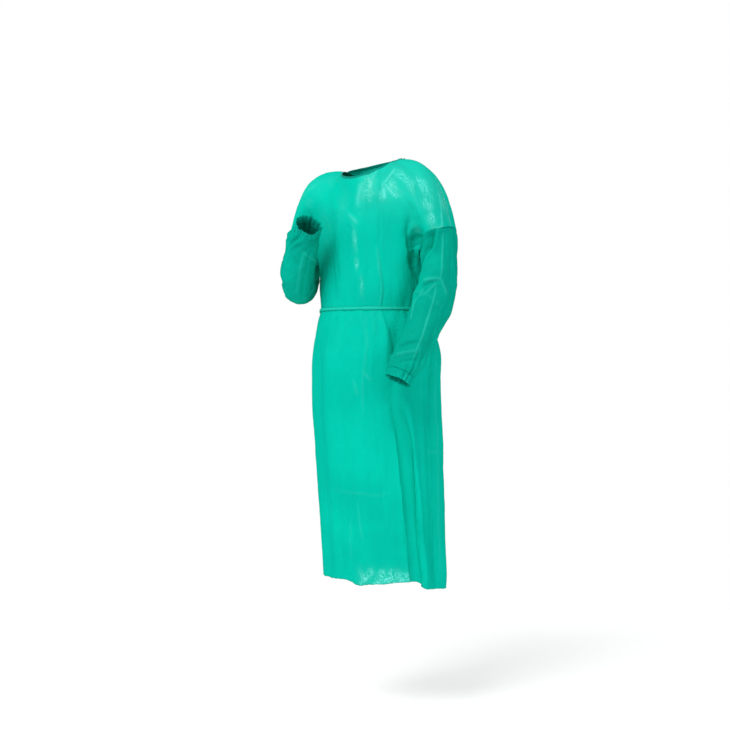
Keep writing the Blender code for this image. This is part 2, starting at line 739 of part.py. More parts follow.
def neck_edge(sheets, normals):
    """The neck seam round the front, from one side of the back opening to the other."""
    count = NECK_COLUMNS + 1
    middle = NECK_COLUMNS + SHOULDER_COLUMNS
    parts = [
        ("back_left_panel", slice(-1, -count - 1, -1)),
        ("front_panel", slice(middle + NECK_COLUMNS, middle - NECK_COLUMNS - 1, -1)),
        ("back_right_panel", slice(count - 1, None, -1)),
    ]
    points, outward = [], []
    for name, columns in parts:
        drop = 0 if name == "back_left_panel" else 1
        points.append(sheets[name][-1, columns][drop:])
        outward.append(normals[name][-1, columns][drop:])
    points, outward = np.concatenate(points), np.concatenate(outward)
    return points, unit(np.cross(np.gradient(points, axis=0), outward)), outward


def hanging_tail(name, trees, top, length, lean, finish, collection):
    """A flat tie that hangs from a knot behind the back, drawn narrow where it leaves the knot."""
    count = 25
    drop = np.linspace(0, 1, count)
    grow = 0.4 + 0.6 * ease(0, 0.12, drop)
    x = math.copysign(TIE_WIDTH * 0.62, lean) * grow + lean * drop**1.4
    z = top[2] - length * drop
    across = np.stack([np.ones(count), np.zeros(count), lean / length * 1.4 * drop**0.4], axis=-1)
    across = unit(across) * grow[:, None] * TIE_WIDTH / 2
    step = length / (count - 1)
    reach = np.array(
        [
            max(back_surface(trees, x[i] + side * across[i, 0], z[i], step / 2) for side in (-1, 0, 1))
            for i in range(count)
        ]
    )
    reach = reach + ON_CLOTH
    reach[0] = max(reach[0], top[1] - CLOTH / 2)
    for _ in range(3):
        eased = np.convolve(np.pad(reach, 1, mode="edge"), [0.25, 0.5, 0.25], mode="valid")
        reach = np.maximum(reach, eased)
    middle = np.stack([x, reach, z], axis=-1)
    inner = np.stack([middle - across, middle + across], axis=1)
    outer = inner + np.array([0, CLOTH, 0])
    return wall(name, outer, inner, False, finish, collection)


def knot(name, trees, height, size, finish, collection):
    """A small knot, seated on what is behind it: a squashed lump with a wrap round its middle."""
    shape = bmesh.new()
    bmesh.ops.create_uvsphere(shape, u_segments=16, v_segments=9, radius=1.0)
    for vertex in shape.verts:
        x, y, z = vertex.co
        waist = math.exp(-((x - 0.25 * z) / 0.30) ** 2)
        groove = math.exp(-((abs(x - 0.25 * z) - 0.42) / 0.12) ** 2)
        swell = 0.92 + 0.12 * waist - 0.12 * groove
        vertex.co = (x * size[0], y * size[1] * swell, z * size[2] * swell + height)
    depth = BEHIND
    bmesh.ops.translate(shape, verts=shape.verts, vec=(0, depth, 0))
    while not any(tree.overlap(BVHTree.FromBMesh(shape)) for tree in trees):
        depth -= SEAM_GAP
        bmesh.ops.translate(shape, verts=shape.verts, vec=(0, -SEAM_GAP, 0))
    depth += 2 * SEAM_GAP
    bmesh.ops.translate(shape, verts=shape.verts, vec=(0, 2 * SEAM_GAP, 0))
    mesh = bpy.data.meshes.new(name)
    shape.to_mesh(mesh)
    shape.free()
    add_object(name, mesh, finish, collection)
    return depth


def main():
    for thing in list(bpy.data.objects):
        bpy.data.objects.remove(thing)
    gown = bpy.data.collections.new("isolation_gown")
    bpy.context.scene.collection.children.link(gown)
    film = material("coated_cloth", (0.004, 0.55, 0.42), 0.42)
    matte = material("sleeve_cloth", (0.004, 0.46, 0.34), 0.60)
    cuff = material("cuff_cloth", (0.004, 0.46, 0.35), 0.65)
    trim = material("trim_cloth", (0.004, 0.34, 0.27), 0.60)

    sheets = body_sheets()
    for side in SIDES:
        sheets["sleeve_" + side] = sleeve_surface(side)
    tubes = [name for name in sheets if name.startswith("sleeve")]
    normals = shared_normals(sheets, tubes)
    edges = {
        "front_panel": ("first_column", "last_column", "last_row"),
        "back_left_panel": ("first_column", "last_row"),
        "back_right_panel": ("last_column", "last_row"),
    }
    made = {}
    for name, points in sheets.items():
        joined = edges.get(name, ("first_row", "last_row"))
        outer = trimmed(points, normals[name], joined, name in tubes)
        inner = outer - normals[name] * CLOTH
        finish = matte if name in tubes else film
        made[name] = wall(name, outer, inner, name in tubes, finish, gown)

    for side in SIDES:
        ring, spread = cuff_surface(side, sheets["sleeve_" + side])
        made["cuff_" + side] = wall(
            "cuff_" + side, ring + spread * CLOTH / 2, ring - spread * CLOTH / 2, True, cuff, gown
        )

    points, upward, outward = neck_edge(sheets, normals)
    rows = [points + upward * (1.5 * SEAM_GAP + BINDING_WIDTH * share) for share in (0, 0.5, 1)]
    rows = np.array(rows)
    bulge = np.array([0.6, 1.0, 0.6])[:, None, None] * (BINDING_THICKNESS - CLOTH) / 2
    wall(
        "neck_binding", rows + outward * bulge, rows - outward * (CLOTH + bulge), False, trim, gown
    )

    points, outward = waist_belt(sheets, normals)
    inner = points + outward * ON_CLOTH
    belt = wall("waist_belt", inner + outward * BELT_THICKNESS, inner, True, film, gown)

    backs = [made["back_left_panel"], made["back_right_panel"]]
    for where, z, size, length in (
        ("waist", BELT_Z, WAIST_KNOT, WAIST_TAIL),
        ("neck", NECK_KNOT_Z, NECK_KNOT, NECK_TAIL),
    ):
        others = [*backs, belt] if where == "waist" else [*backs, bpy.data.objects["neck_binding"]]
        trees = hull_of(*others)
        finish = trim if where == "neck" else film
        depth = knot(where + "_knot", trees, z, size, finish, gown)
        low = z - 0.96 * size[2] - SEAM_GAP
        for side, lean in (("left", 0.030), ("right", -0.022)):
            hanging_tail(f"{where}_tie_{side}", trees, (0, depth, low), length, lean, finish, gown)


main()
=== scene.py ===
# A worn, hollow isolation gown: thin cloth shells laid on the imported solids' own form.
# Metres, +Z up. The front faces -Y and the gown's own left side is +X.

import math

import bmesh
import bpy
import numpy as np
from mathutils.bvhtree import BVHTree
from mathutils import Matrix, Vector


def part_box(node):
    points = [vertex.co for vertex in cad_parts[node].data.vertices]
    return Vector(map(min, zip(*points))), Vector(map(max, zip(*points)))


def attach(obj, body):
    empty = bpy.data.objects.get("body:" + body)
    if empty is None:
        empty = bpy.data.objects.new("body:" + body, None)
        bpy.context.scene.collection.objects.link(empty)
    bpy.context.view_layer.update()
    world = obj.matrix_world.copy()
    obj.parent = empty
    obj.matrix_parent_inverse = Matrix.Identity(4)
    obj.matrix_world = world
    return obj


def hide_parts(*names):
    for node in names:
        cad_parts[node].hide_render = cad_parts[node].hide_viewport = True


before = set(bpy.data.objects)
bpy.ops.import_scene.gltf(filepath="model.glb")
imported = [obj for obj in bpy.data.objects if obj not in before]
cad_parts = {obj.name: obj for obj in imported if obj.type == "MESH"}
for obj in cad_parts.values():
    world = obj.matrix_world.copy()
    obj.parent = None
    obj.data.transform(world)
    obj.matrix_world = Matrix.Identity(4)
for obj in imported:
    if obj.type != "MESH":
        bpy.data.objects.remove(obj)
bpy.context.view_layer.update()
print("frame loaded:", ", ".join(sorted(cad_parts)))


# curves and small sums


# the rows as one array for each named column
def table(columns, rows):
    return dict(zip(columns.split(), np.array(rows, float).T))


# the cubic between two ends with the given slopes
def hermite(start, startSlope, end, endSlope, u):
    return (
        start * (2 * u**3 - 3 * u**2 + 1)
        + startSlope * (u**3 - 2 * u**2 + u)
        + end * (3 * u**2 - 2 * u**3)
        + endSlope * (u**3 - u**2)
    )


# a smooth cubic through the values, with each slope taken from its neighbours
def alongCurve(at, knots, values):
    knots, values = np.asarray(knots, float), np.asarray(values, float)
    slopes = np.gradient(values, knots, axis=0)
    at = np.clip(np.asarray(at, float), knots[0], knots[-1])
    left = np.clip(np.searchsorted(knots, at, side="right") - 1, 0, len(knots) - 2)
    step = knots[left + 1] - knots[left]
    u = (at - knots[left]) / step
    if values.ndim > 1:
        u, step = u[..., None], step[..., None]
    return hermite(
        values[left], slopes[left] * step, values[left + 1], slopes[left + 1] * step, u
    )


# 0 up to low, 1 from high, and smooth between them
def ease(low, high, value):
    u = np.clip((np.asarray(value, float) - low) / (high - low), 0, 1)
    return u * u * (3 - 2 * u)


def unit(vectors):
    return vectors / np.maximum(np.linalg.norm(vectors, axis=-1, keepdims=True), 1e-12)


# how far along a line each of its points lies
def lengthsAlong(line):
    return np.concatenate([[0], np.cumsum(np.linalg.norm(np.diff(line, axis=0), axis=1))])


def sineCosine(angle):
    return np.sin(np.radians(angle)), np.cos(np.radians(angle))


# the smallest turn from one angle to another, in degrees
def turnBetween(angle, other):
    return (angle - other + 180) % 360 - 180


latticeSize = 64  # cells before the soft noise comes round again


# soft noise between -1 and 1, the same on each run; u and v are counted in cells
def softNoise(u, v, seed):
    lattice = np.random.RandomState(seed).uniform(-1, 1, (latticeSize, latticeSize))
    u, v = np.broadcast_arrays(u, v)
    column, row = np.floor(u).astype(int), np.floor(v).astype(int)
    x, y = u - column, v - row
    x, y = x * x * (3 - 2 * x), y * y * (3 - 2 * y)

    def corner(i, j):
        return lattice[(row + j) % latticeSize, (column + i) % latticeSize]

    low = corner(0, 0) * (1 - x) + corner(1, 0) * x
    high = corner(0, 1) * (1 - x) + corner(1, 1) * x
    return low * (1 - y) + high * y


# layers of soft noise added up: the strength, the two cell sizes and the seed of each
def layeredNoise(u, v, layers, seedShift=0):
    return sum(
        strength * softNoise(u / wide, v / tall, seed + seedShift)
        for strength, wide, tall, seed in layers
    )


# how much fainter a drawn line is at its ends than in its middle, and how suddenly
lineForm = {"fainter": 0.6, "power": 4}


# what lines drawn on cloth do to it: their height, and how pale they leave it
def drawnLines(across, along, metresAcross, metresAlong, rows):
    height = np.zeros(np.broadcast(across, along).shape)
    pale = np.zeros(height.shape)
    for x0, y0, x1, y1, width, rise, bleach in zip(*rows.values()):
        endX, endY = (x1 - x0) * metresAcross, (y1 - y0) * metresAlong
        offX, offY = (across - x0) * metresAcross, (along - y0) * metresAlong
        share = (offX * endX + offY * endY) / np.maximum(endX**2 + endY**2, 1e-9)
        held = np.clip(share, 0, 1)
        away = np.hypot(offX - held * endX, offY - held * endY) / width
        ends = np.abs(2 * held - 1) ** lineForm["power"]
        line = np.exp(-away * away) * (1 - lineForm["fainter"] * ends)
        height = height + rise * line
        pale = np.maximum(pale, bleach * line)
    return height, pale


# the body: its sections, from the hem up, as in the solids

bodyForm = {
    "frontHemZ": -1.157,
    "underarmZ": -0.272,
    "beltZ": -0.405,
    "beltWidth": 0.012,
    "skirtRows": (0.09, 11),  # how far below the belt the even rows end, and how many there are
    "beltRows": (-0.055, -0.030, 0.030, 0.060),
    "chestRows": (0.095, 2),
    "backOverlapNeck": -0.8,
    "backOverlapWaist": 24.0,
    "overlapEase": (-0.372, -0.02),
    "layerShift": 0.0045,
    "layerAxisY": -0.05,
    "layerFadeRows": 3,
    "neckColumns": 7,
    "shoulderColumns": 8,
    "shoulderSpacing": 1.5,
    "neckShare": 0.40,
    "armholeBelly": 0.026,
    "columnSplit": 6,  # fine columns in each of the solids' own
    "rowStep": 0.0055,  # height of a fine row
}

# the yoke: its slope at the bottom, how the armhole pulls the columns out to it, and where the
# body's folds come in and fade, as shares of its height and its width
yokeForm = {
    "rows": 12,
    "rowSplit": 5,
    "rise": 0.30,
    "slopeEase": 0.1,
    "pull": 1.3,
    "armpitPull": 12,
    "armpitIn": (0.05, 0.30),
    "armpitOut": (0.15, 0.55),
    "foldsIn": (0.0, 0.20),
    "foldsOut": (0.20, 0.72),
    "edgeFade": (0.97, 1.0),
}

# how the sheets are smoothed: rows and shares of the width about the two places, and rounds
smoothForm = {
    "bendRows": 4,
    "bendEnds": (0.55, 0.85),
    "bendRounds": 144,
    "underWidth": 0.13,
    "underBottom": (-2, 1),
    "underTop": (-3, 0),
    "underRounds": 260,
}

bodySections = table(
    "z halfWidth halfDepth centreX centreY",
    [
        (-1.2, 0.169, 0.149, 0.013, 0.032), (-0.95, 0.1725, 0.15, 0.006, 0.021),
        (-0.77, 0.178, 0.15, 0, 0.013), (-0.6, 0.179, 0.148, -0.003, 0.006),
        (-0.5, 0.178, 0.14, 0, 0.004), (-0.44, 0.164, 0.128, -0.005, 0.001),
        (-0.405, 0.151, 0.118, -0.009, 0), (-0.36, 0.1545, 0.123, -0.009, 0),
        (-0.272, 0.154, 0.126, -0.009, 0),
    ],
)

# folds run from an upper end to a lower end; angles are from the middle of the front, in
# degrees, + to the gown's left; a height above 0 is a ridge and one below 0 a trough
bodyFolds = table(
    "upperAngle lowerAngle upperZ lowerZ width height fade",
    [
        (31, 36, -0.1, -0.4, 5, 0.006, 0.06), (37, 40, -0.12, -0.4, 4.5, -0.009, 0.06),
        (38, 33, -0.42, -0.56, 6, 0.007, 0.06), (45, 46, -0.42, -0.6, 5.5, -0.008, 0.07),
        (40, 54, -0.56, -1.25, 9, -0.02, 0.16), (53, 70, -0.58, -1.25, 6.5, 0.017, 0.14),
        (16, 9, -0.45, -1.25, 10, 0.006, 0.12), (-3, -8, -0.62, -1.25, 7, -0.007, 0.15),
        (-22, -20, -0.44, -1.25, 9, 0.007, 0.1), (-42, -38, -0.46, -1.25, 8, -0.0075, 0.12),
        (-62, -60, -0.45, -1.25, 9, 0.006, 0.12), (-30, -24, -0.13, -0.395, 6, -0.0045, 0.08),
        (-14, -10, -0.16, -0.395, 6, 0.004, 0.08), (5, 12, -0.14, -0.395, 6.5, 0.0045, 0.08),
        (62, 58, -0.24, -0.4, 7, 0.006, 0.08), (-62, -56, -0.24, -0.4, 7, -0.0045, 0.08),
        (84, 88, -0.45, -1.25, 8, -0.012, 0.14), (102, 108, -0.44, -1.25, 9, 0.012, 0.12),
        (124, 128, -0.46, -1.25, 8, -0.01, 0.12), (146, 144, -0.44, -1.25, 9, 0.01, 0.12),
        (166, 164, -0.5, -1.25, 8, -0.007, 0.12), (-90, -88, -0.45, -1.25, 8, -0.01, 0.12),
        (-110, -114, -0.44, -1.25, 9, 0.012, 0.12), (-132, -134, -0.46, -1.25, 8, -0.009, 0.12),
        (120, 116, -0.2, -0.4, 8, 0.006, 0.08), (150, 152, -0.18, -0.4, 8, -0.005, 0.08),
        (-122, -118, -0.2, -0.4, 8, 0.006, 0.08), (-150, -150, -0.18, -0.4, 8, -0.0045, 0.08),
    ],
)

waistPleats = {
    "count": 30, "height": 0.0016, "reach": 0.030,
    "wander": ((1.3, 23, 1, 4),), "uneven": ((0.4, 17, 1, 3),), "mean": 0.6,
}

hemDrop = table(
    "angle rise",
    [
        (-180, -0.012), (-120, -0.004), (-75, 0.006), (-40, 0.005), (-8, 0.004), (-2, -0.002),
        (20, 0), (52, 0.003), (60, 0.001), (66, -0.012), (78, -0.018), (95, -0.023),
        (120, -0.023), (180, -0.012),
    ],
)

# the frays of the hem, and how far up they and the drop reach
hemForm = {
    "frays": ((0.0012, 4.5, 1, 11), (0.0006, 1.6, 1, 12)), "frayReach": 0.02, "dropReach": 0.35,
}

neckForm = {
    "halfWidth": 0.090,
    "frontDepth": 0.103,
    "backDepth": 0.072,
    "frontZ": -0.046,
    "backZ": 0.010,
    "tilt": 0.0125,
    "levelPower": 1.6,
    "arrival": np.array([0, 0.10, 0.18]),
    "shoulderArrival": np.array([0, 0.33, 0.05]),
}

# each side's shoulder seam, with x measured outwards, and its armhole
sideForm = {
    "left": {
        "sign": 1,
        "seam": table(
            "out y z",
            [
                (0.128, 0, 0.006), (0.163, 0, -0.0145), (0.191, 0, -0.045), (0.218, -0.004, -0.1),
                (0.248, -0.012, -0.184),
            ],
        ),
        "armholeDepth": 0.076,
        "armholeLift": 0.056,
    },
    "right": {
        "sign": -1,
        "seam": table(
            "out y z",
            [
                (0.126, 0, -0.011), (0.162, 0, -0.015), (0.195, 0, -0.03),
                (0.225, -0.008, -0.088), (0.242, -0.02, -0.162),
            ],
        ),
        "armholeDepth": 0.072,
        "armholeLift": 0.050,
    },
}

# fine creases of the body, each a line from one spot to another: degrees round and height,
# the half-width and the height of the line in metres, and how pale it is
bodyCreases = table(
    "startAround startZ endAround endZ width height pale",
    [
        # the long crease down the chest, on past the waist tie
        (34, -0.15, 32.5, -0.246, 0.0034, -0.002, 0),
        (32.5, -0.246, 36.5, -0.322, 0.0028, -0.003, 0),
        (36.5, -0.322, 36.9, -0.423, 0.0026, -0.0034, 0),
        (36.9, -0.423, 42.5, -0.545, 0.003, -0.0034, 0),
        (30.8, -0.24, 34.4, -0.322, 0.003, 0.0012, 0.1),
        (34.4, -0.322, 34.6, -0.4, 0.003, 0.0012, 0.06),
        # the cloth folded in beside the sleeve, down to the armpit
        (56.5, -0.09, 55.5, -0.116, 0.006, -0.002, 0),
        (55.5, -0.116, 59.4, -0.166, 0.006, -0.004, 0),
        (59.4, -0.166, 64.1, -0.217, 0.0065, -0.007, 0),
        (64.1, -0.217, 68.7, -0.267, 0.007, -0.009, 0),
        (68.7, -0.267, 78.5, -0.318, 0.007, -0.008, 0), (70, -0.208, 73, -0.25, 0.014, -0.015, 0),
        (73, -0.25, 80, -0.29, 0.014, -0.017, 0), (80, -0.29, 86, -0.33, 0.012, -0.01, 0),
        (-56, -0.1, -60, -0.17, 0.0065, -0.004, 0), (-60, -0.17, -68, -0.25, 0.007, -0.007, 0),
        # packing creases that cross on the chest
        (40.1, -0.064, 50.5, -0.106, 0.0018, 0.0014, 0.9),
        (43, -0.064, 52, -0.098, 0.0024, -0.0014, 0),
        (56, -0.024, 38, -0.066, 0.0024, 0.0014, 0.55),
        (38.5, -0.078, 39.5, -0.11, 0.0055, 0.0014, 0.65),
        (35.5, -0.06, 36, -0.12, 0.003, -0.0014, 0), (32, -0.03, 25, -0.055, 0.004, 0.001, 0.25),
        # creases down the shoulder cap
        (82.9, -0.085, 79.4, -0.14, 0.0026, 0.0014, 0.45),
        (79.4, -0.14, 75, -0.188, 0.0026, 0.0014, 0.45),
        (89, -0.13, 84, -0.192, 0.003, 0.0012, 0.35),
        (63.5, -0.052, 66.5, -0.07, 0.0035, -0.002, 0),
        (66.5, -0.07, 63, -0.088, 0.003, -0.0018, 0), (64, -0.156, 71, -0.148, 0.0028, -0.002, 0),
        # the upright crease under the neck, and small ones above and below the belt; the pale of
        # the short upright ones between the chest and the belt is painted highlight, glints on the
        # film
        (12, -0.06, 10, -0.125, 0.006, 0.0014, 0.3),
        (5.5, -0.205, 9.5, -0.25, 0.003, 0.0014, 0.12),
        (7.5, -0.205, 12.5, -0.262, 0.003, -0.0014, 0),
        (9, -0.278, 11, -0.293, 0.0028, 0.0012, 0.12),
        (13, -0.315, 15.5, -0.342, 0.0028, 0.0012, 0.1),
        (1, -0.15, 9, -0.172, 0.0034, 0.0014, 0.25), (-3, -0.18, 3, -0.197, 0.004, -0.0014, 0),
        (-16, -0.235, -13, -0.33, 0.004, -0.0014, 0),
        (-24, -0.255, -19, -0.35, 0.004, -0.0014, 0), (12, -0.565, 24, -0.592, 0.003, -0.0012, 0),
        (14, -0.578, 22, -0.605, 0.0026, 0.0009, 0.1), (6, -0.6, 10, -0.64, 0.004, 0.0009, 0.06),
        # long packing creases, square to each other
        (16, -0.44, 14, -0.7, 0.003, 0.0006, 0.04), (-26, -0.44, -27, -0.9, 0.0035, 0.0006, 0),
        (-20, -0.905, 36, -0.912, 0.003, 0.0006, 0.04),
        (6, -0.93, 8, -1.04, 0.0024, 0.0008, 0.06), (-4, -0.99, -6, -1.09, 0.0024, 0.0008, 0.05),
        (-58, -0.7, -56, -1, 0.0035, 0.0006, 0), (96, -0.43, 98, -1.15, 0.003, 0.0009, 0.05),
        (80, -0.8, 128, -0.806, 0.003, 0.0007, 0.05),
        # the like on the hidden back
        (150, -0.15, 148, -0.39, 0.004, 0.001, 0.2),
        (-150, -0.15, -147, -0.39, 0.004, 0.001, 0.2),
        (176, -0.45, 172, -1.15, 0.0034, 0.001, 0.16),
        (-128, -0.5, -124, -1.1, 0.0034, 0.0009, 0.14),
        (140, -0.905, 200, -0.912, 0.003, 0.0007, 0.12),
        (120, -0.25, 138, -0.3, 0.003, -0.0016, 0),
        (-120, -0.25, -138, -0.306, 0.003, -0.0016, 0),
        (128, -0.12, 150, -0.17, 0.0036, 0.0012, 0.2),
        (-128, -0.125, -150, -0.165, 0.0036, 0.0012, 0.2),
    ],
)


# the side of the skirt stands forward over its front: the edge's place, and how wide and
# deep the hollow in front of it is
skirtFold = table(
    "z edge width depth",
    [
        (-1.2, 68, 15, 0.027), (-1.044, 66, 14, 0.038), (-0.925, 61, 13, 0.038),
        (-0.813, 57, 11, 0.03), (-0.728, 52, 9, 0.014), (-0.66, 48, 7, 0),
    ],
)


# how the edge rises, in degrees, and the swell before the hollow: its share of the depth, its
# place in widths and its own width in degrees
skirtEdge = {"rise": (-1.2, 3.8), "swell": 0.5, "swellPlace": 1.1, "swellWidth": 6}


def skirtHollow(around, z):
    edge, width, depth = (
        np.interp(z, skirtFold["z"], skirtFold[name]) for name in ("edge", "width", "depth")
    )
    inwards = np.clip((around - edge + width) / width, 0, 1)
    offSwell = (around - edge + skirtEdge["swellPlace"] * width) / skirtEdge["swellWidth"]
    swell = skirtEdge["swell"] * depth * np.exp(-(offSwell**2))
    low, high = skirtEdge["rise"]
    return swell - depth * inwards * (1 - ease(edge + low, edge + high, around))


# how far the folds and pleats move the body's cloth outwards
def foldHeight(angle, z):
    height = np.zeros(np.broadcast(angle, z).shape)
    for upper, lower, top, bottom, width, rise, fade in zip(*bodyFolds.values()):
        share = np.clip((top - z) / (top - bottom), 0, 1)
        away = turnBetween(angle, upper + (lower - upper) * share) / width
        reach = (1 - ease(top - fade, top, z)) * ease(bottom, bottom + fade, z)
        height = height + rise * reach * np.exp(-away * away)
    offBelt = np.abs(z - bodyForm["beltZ"]) / waistPleats["reach"]
    uneven = waistPleats["mean"] + layeredNoise(angle, 0 * z, waistPleats["uneven"])
    wander = layeredNoise(angle, 0 * z, waistPleats["wander"])
    phase = np.radians(angle) * waistPleats["count"] + wander
    pleats = np.cos(phase) * offBelt * np.exp(1 - offBelt) * uneven
    return height + waistPleats["height"] * pleats


# the half width, the half depth and the centre of the body's section at each height
def sectionAt(z):
    names = ("halfWidth", "halfDepth", "centreX", "centreY")
    return [alongCurve(z, bodySections["z"], bodySections[name]) for name in names]


# a point of the body's cloth at an angle from the middle of the front, and a height
def bodyPoint(angle, z):
    angle, z = np.broadcast_arrays(np.asarray(angle, float), np.asarray(z, float))
    halfWidth, halfDepth, centreX, centreY = sectionAt(z)
    sine, cosine = sineCosine(angle)
    outward = unit(np.stack([halfDepth * sine, -halfWidth * cosine, 0 * z], axis=-1))
    middle = np.stack([centreX + halfWidth * sine, centreY - halfDepth * cosine, z], axis=-1)
    return middle + outward * foldHeight(angle, z)[..., None]


# how far round the body a point lies, in degrees, and how many metres a degree is there
def placeRound(points):
    halfWidth, halfDepth, centreX, centreY = sectionAt(points[..., 2])
    x, y = points[..., 0] - centreX, points[..., 1] - centreY
    around = np.degrees(np.arctan2(x / halfWidth, -y / halfDepth))
    return around, np.radians(np.hypot(x, y))


# the heights of the solids' rows below the underarm, from the hem up
def skirtRows():
    half, belt = bodyForm["beltWidth"] / 2, bodyForm["beltZ"]
    below, above = bodyForm["skirtRows"], bodyForm["chestRows"]
    near = sorted([*bodyForm["beltRows"], -half, half])
    return np.concatenate(
        [
            np.linspace(bodyForm["frontHemZ"], belt - below[0], below[1]),
            belt + np.array(near),
            np.linspace(belt + above[0], bodyForm["underarmZ"], above[1]),
        ]
    )


# the row's height, moved by the uneven hem, which fades out upwards
def hemHeight(angle, z):
    rise = alongCurve(turnBetween(angle, 0), hemDrop["angle"], hemDrop["rise"])
    frayed = layeredNoise(angle, 0 * z, hemForm["frays"])
    low = bodyForm["frontHemZ"]
    near = 1 - ease(low, low + hemForm["frayReach"], z)
    return z + rise * (1 - ease(low, low + hemForm["dropReach"], z)) + frayed * near


# the columns of the solids from the middle (0) to the side (1)
def columnShares():
    share, last = bodyForm["neckShare"], bodyForm["shoulderColumns"] + 1
    return np.concatenate(
        [
            np.linspace(0, share, bodyForm["neckColumns"] + 1),
            share + (1 - share) * (1 - np.linspace(1, 0, last)[1:] ** bodyForm["shoulderSpacing"]),
        ]
    )


# where the fine rows and columns lie, counted in the solids' own rows and columns
def fineSteps():
    rows = skirtRows()
    below = np.round(np.diff(rows) / bodyForm["rowStep"]).astype(int)
    steps = [i + np.arange(n) / n for i, n in enumerate(below)]
    top = len(rows) - 1
    above = top + np.arange(yokeForm["rows"] * yokeForm["rowSplit"] + 1) / yokeForm["rowSplit"]
    coarse = columnShares()
    split = bodyForm["columnSplit"]
    columns = np.arange((len(coarse) - 1) * split + 1) / split
    return np.concatenate(steps), above, np.interp(columns, np.arange(len(coarse)), coarse)


# the neck seam, at an angle from the middle of the front
def neckPoint(angle):
    sine, cosine = sineCosine(angle)
    front = cosine > 0
    depth = np.where(front, neckForm["frontDepth"], neckForm["backDepth"])
    level = np.where(front, neckForm["frontZ"], neckForm["backZ"])
    z = level * np.abs(cosine) ** neckForm["levelPower"] + neckForm["tilt"] * sine
    return np.stack([neckForm["halfWidth"] * sine, -depth * cosine, z], axis=-1)


# the shoulder seam from the neck (0) to the top of the armhole (1)
def shoulderSeam(side, share):
    facts = sideForm[side]
    seam = facts["seam"]
    points = np.stack([facts["sign"] * seam["out"], seam["y"], seam["z"]], axis=-1)
    points = np.vstack([neckPoint(90.0 * facts["sign"]), points])
    knots = lengthsAlong(points)
    return alongCurve(share, knots / knots[-1], points)


# the armhole seam: 0 at its top, 90 in front, 180 at its bottom, 270 behind
def armholePoint(side, angle):
    facts = sideForm[side]
    top = shoulderSeam(side, np.array(1.0))
    under = bodyPoint(90.0 * facts["sign"], bodyForm["underarmZ"])
    middle, reach = (top + under) / 2, (top - under) / 2
    sine, cosine = sineCosine(angle)
    ring = middle + cosine[..., None] * reach
    ring = ring + sine[..., None] * np.array([0, -facts["armholeDepth"], 0])
    away = np.array([facts["sign"] * bodyForm["armholeBelly"], 0, facts["armholeLift"]])
    return ring + (np.abs(sine) * (1 - cosine) / 2)[..., None] * away


# how far a back panel passes the middle of the back, in degrees
def overlapAngle(z):
    share = 1 - ease(*bodyForm["overlapEase"], z)
    neck, waist = bodyForm["backOverlapNeck"], bodyForm["backOverlapWaist"]
    return neck + (waist - neck) * share


# the half panel above the underarm, from its four edges: rows upwards, columns outwards
def yokeSheet(side, front, rows, q):
    sign = sideForm[side]["sign"]
    t = (rows - rows[0]) / yokeForm["rows"]
    share = bodyForm["neckShare"]
    over = 0.0 if front else overlapAngle(bodyForm["underarmZ"])
    lowAngle = q * 90 if front else 180 + over - q * (90 + over)
    bottom = bodyPoint(sign * lowAngle, bodyForm["underarmZ"])
    neckOver = 0.0 if front else bodyForm["backOverlapNeck"]
    part = np.clip(q / share, 0, 1)
    neckAngle = part * 90 if front else 180 + neckOver - part * (90 + neckOver)
    top = np.where(
        (q <= share)[:, None],
        neckPoint(sign * neckAngle),
        shoulderSeam(side, np.clip((q - share) / (1 - share), 0, 1)),
    )
    rise = np.stack([0 * q, 0 * q, yokeForm["rise"] + 0 * q], axis=-1)
    mix = ease(yokeForm["slopeEase"], share + yokeForm["slopeEase"], q)[:, None]
    arrive = neckForm["arrival"] * (1 - mix) + neckForm["shoulderArrival"] * mix
    arrive = arrive * np.array([1, 1 if front else -1, 1])
    sheet = hermite(bottom[None], rise[None], top[None], arrive[None], t[:, None, None])
    turn = 180 * (1 - t) if front else 180 + 180 * t
    edge = armholePoint(side, turn)
    armpit = ease(*yokeForm["armpitIn"], t) * (1 - ease(*yokeForm["armpitOut"], t))
    power = yokeForm["pull"] + yokeForm["armpitPull"] * armpit
    pull = q[None, :] ** power[:, None]
    sheet = sheet + pull[..., None] * (edge[:, None] - sheet[:, -1:])
    return foldYoke(sheet, sign * lowAngle, t, q)


# carries the body's folds on up the yoke, fading towards the shoulder and the edges
def foldYoke(sheet, angle, t, q):
    z = sheet[..., 2]
    columns = np.broadcast_to(angle, z.shape)
    lift = foldHeight(columns, np.maximum(z, bodyForm["underarmZ"]))
    share = ease(*yokeForm["foldsIn"], t)[:, None]
    lift = lift * share * (1 - ease(*yokeForm["foldsOut"], t))[:, None]
    sine, cosine = sineCosine(columns)
    outward = np.stack([sine, -cosine, 0 * z], axis=-1)
    return sheet + outward * (lift * (1 - ease(*yokeForm["edgeFade"], q)))[..., None]


# half the body, from the hem to the shoulder: rows upwards, columns outwards
def halfPanel(side, front, steps):
    low, high, q = steps
    sign = sideForm[side]["sign"]
    z = np.interp(low, np.arange(len(skirtRows())), skirtRows())[:, None]
    over = 0.0 if front else overlapAngle(z)
    columns = q[None, :]
    angle = sign * (columns * 90 if front else 180 + over - columns * (90 + over)) + 0 * z
    skirt = bodyPoint(angle, hemHeight(angle, z + 0 * angle))
    return np.vstack([skirt, yokeSheet(side, front, high, q)])


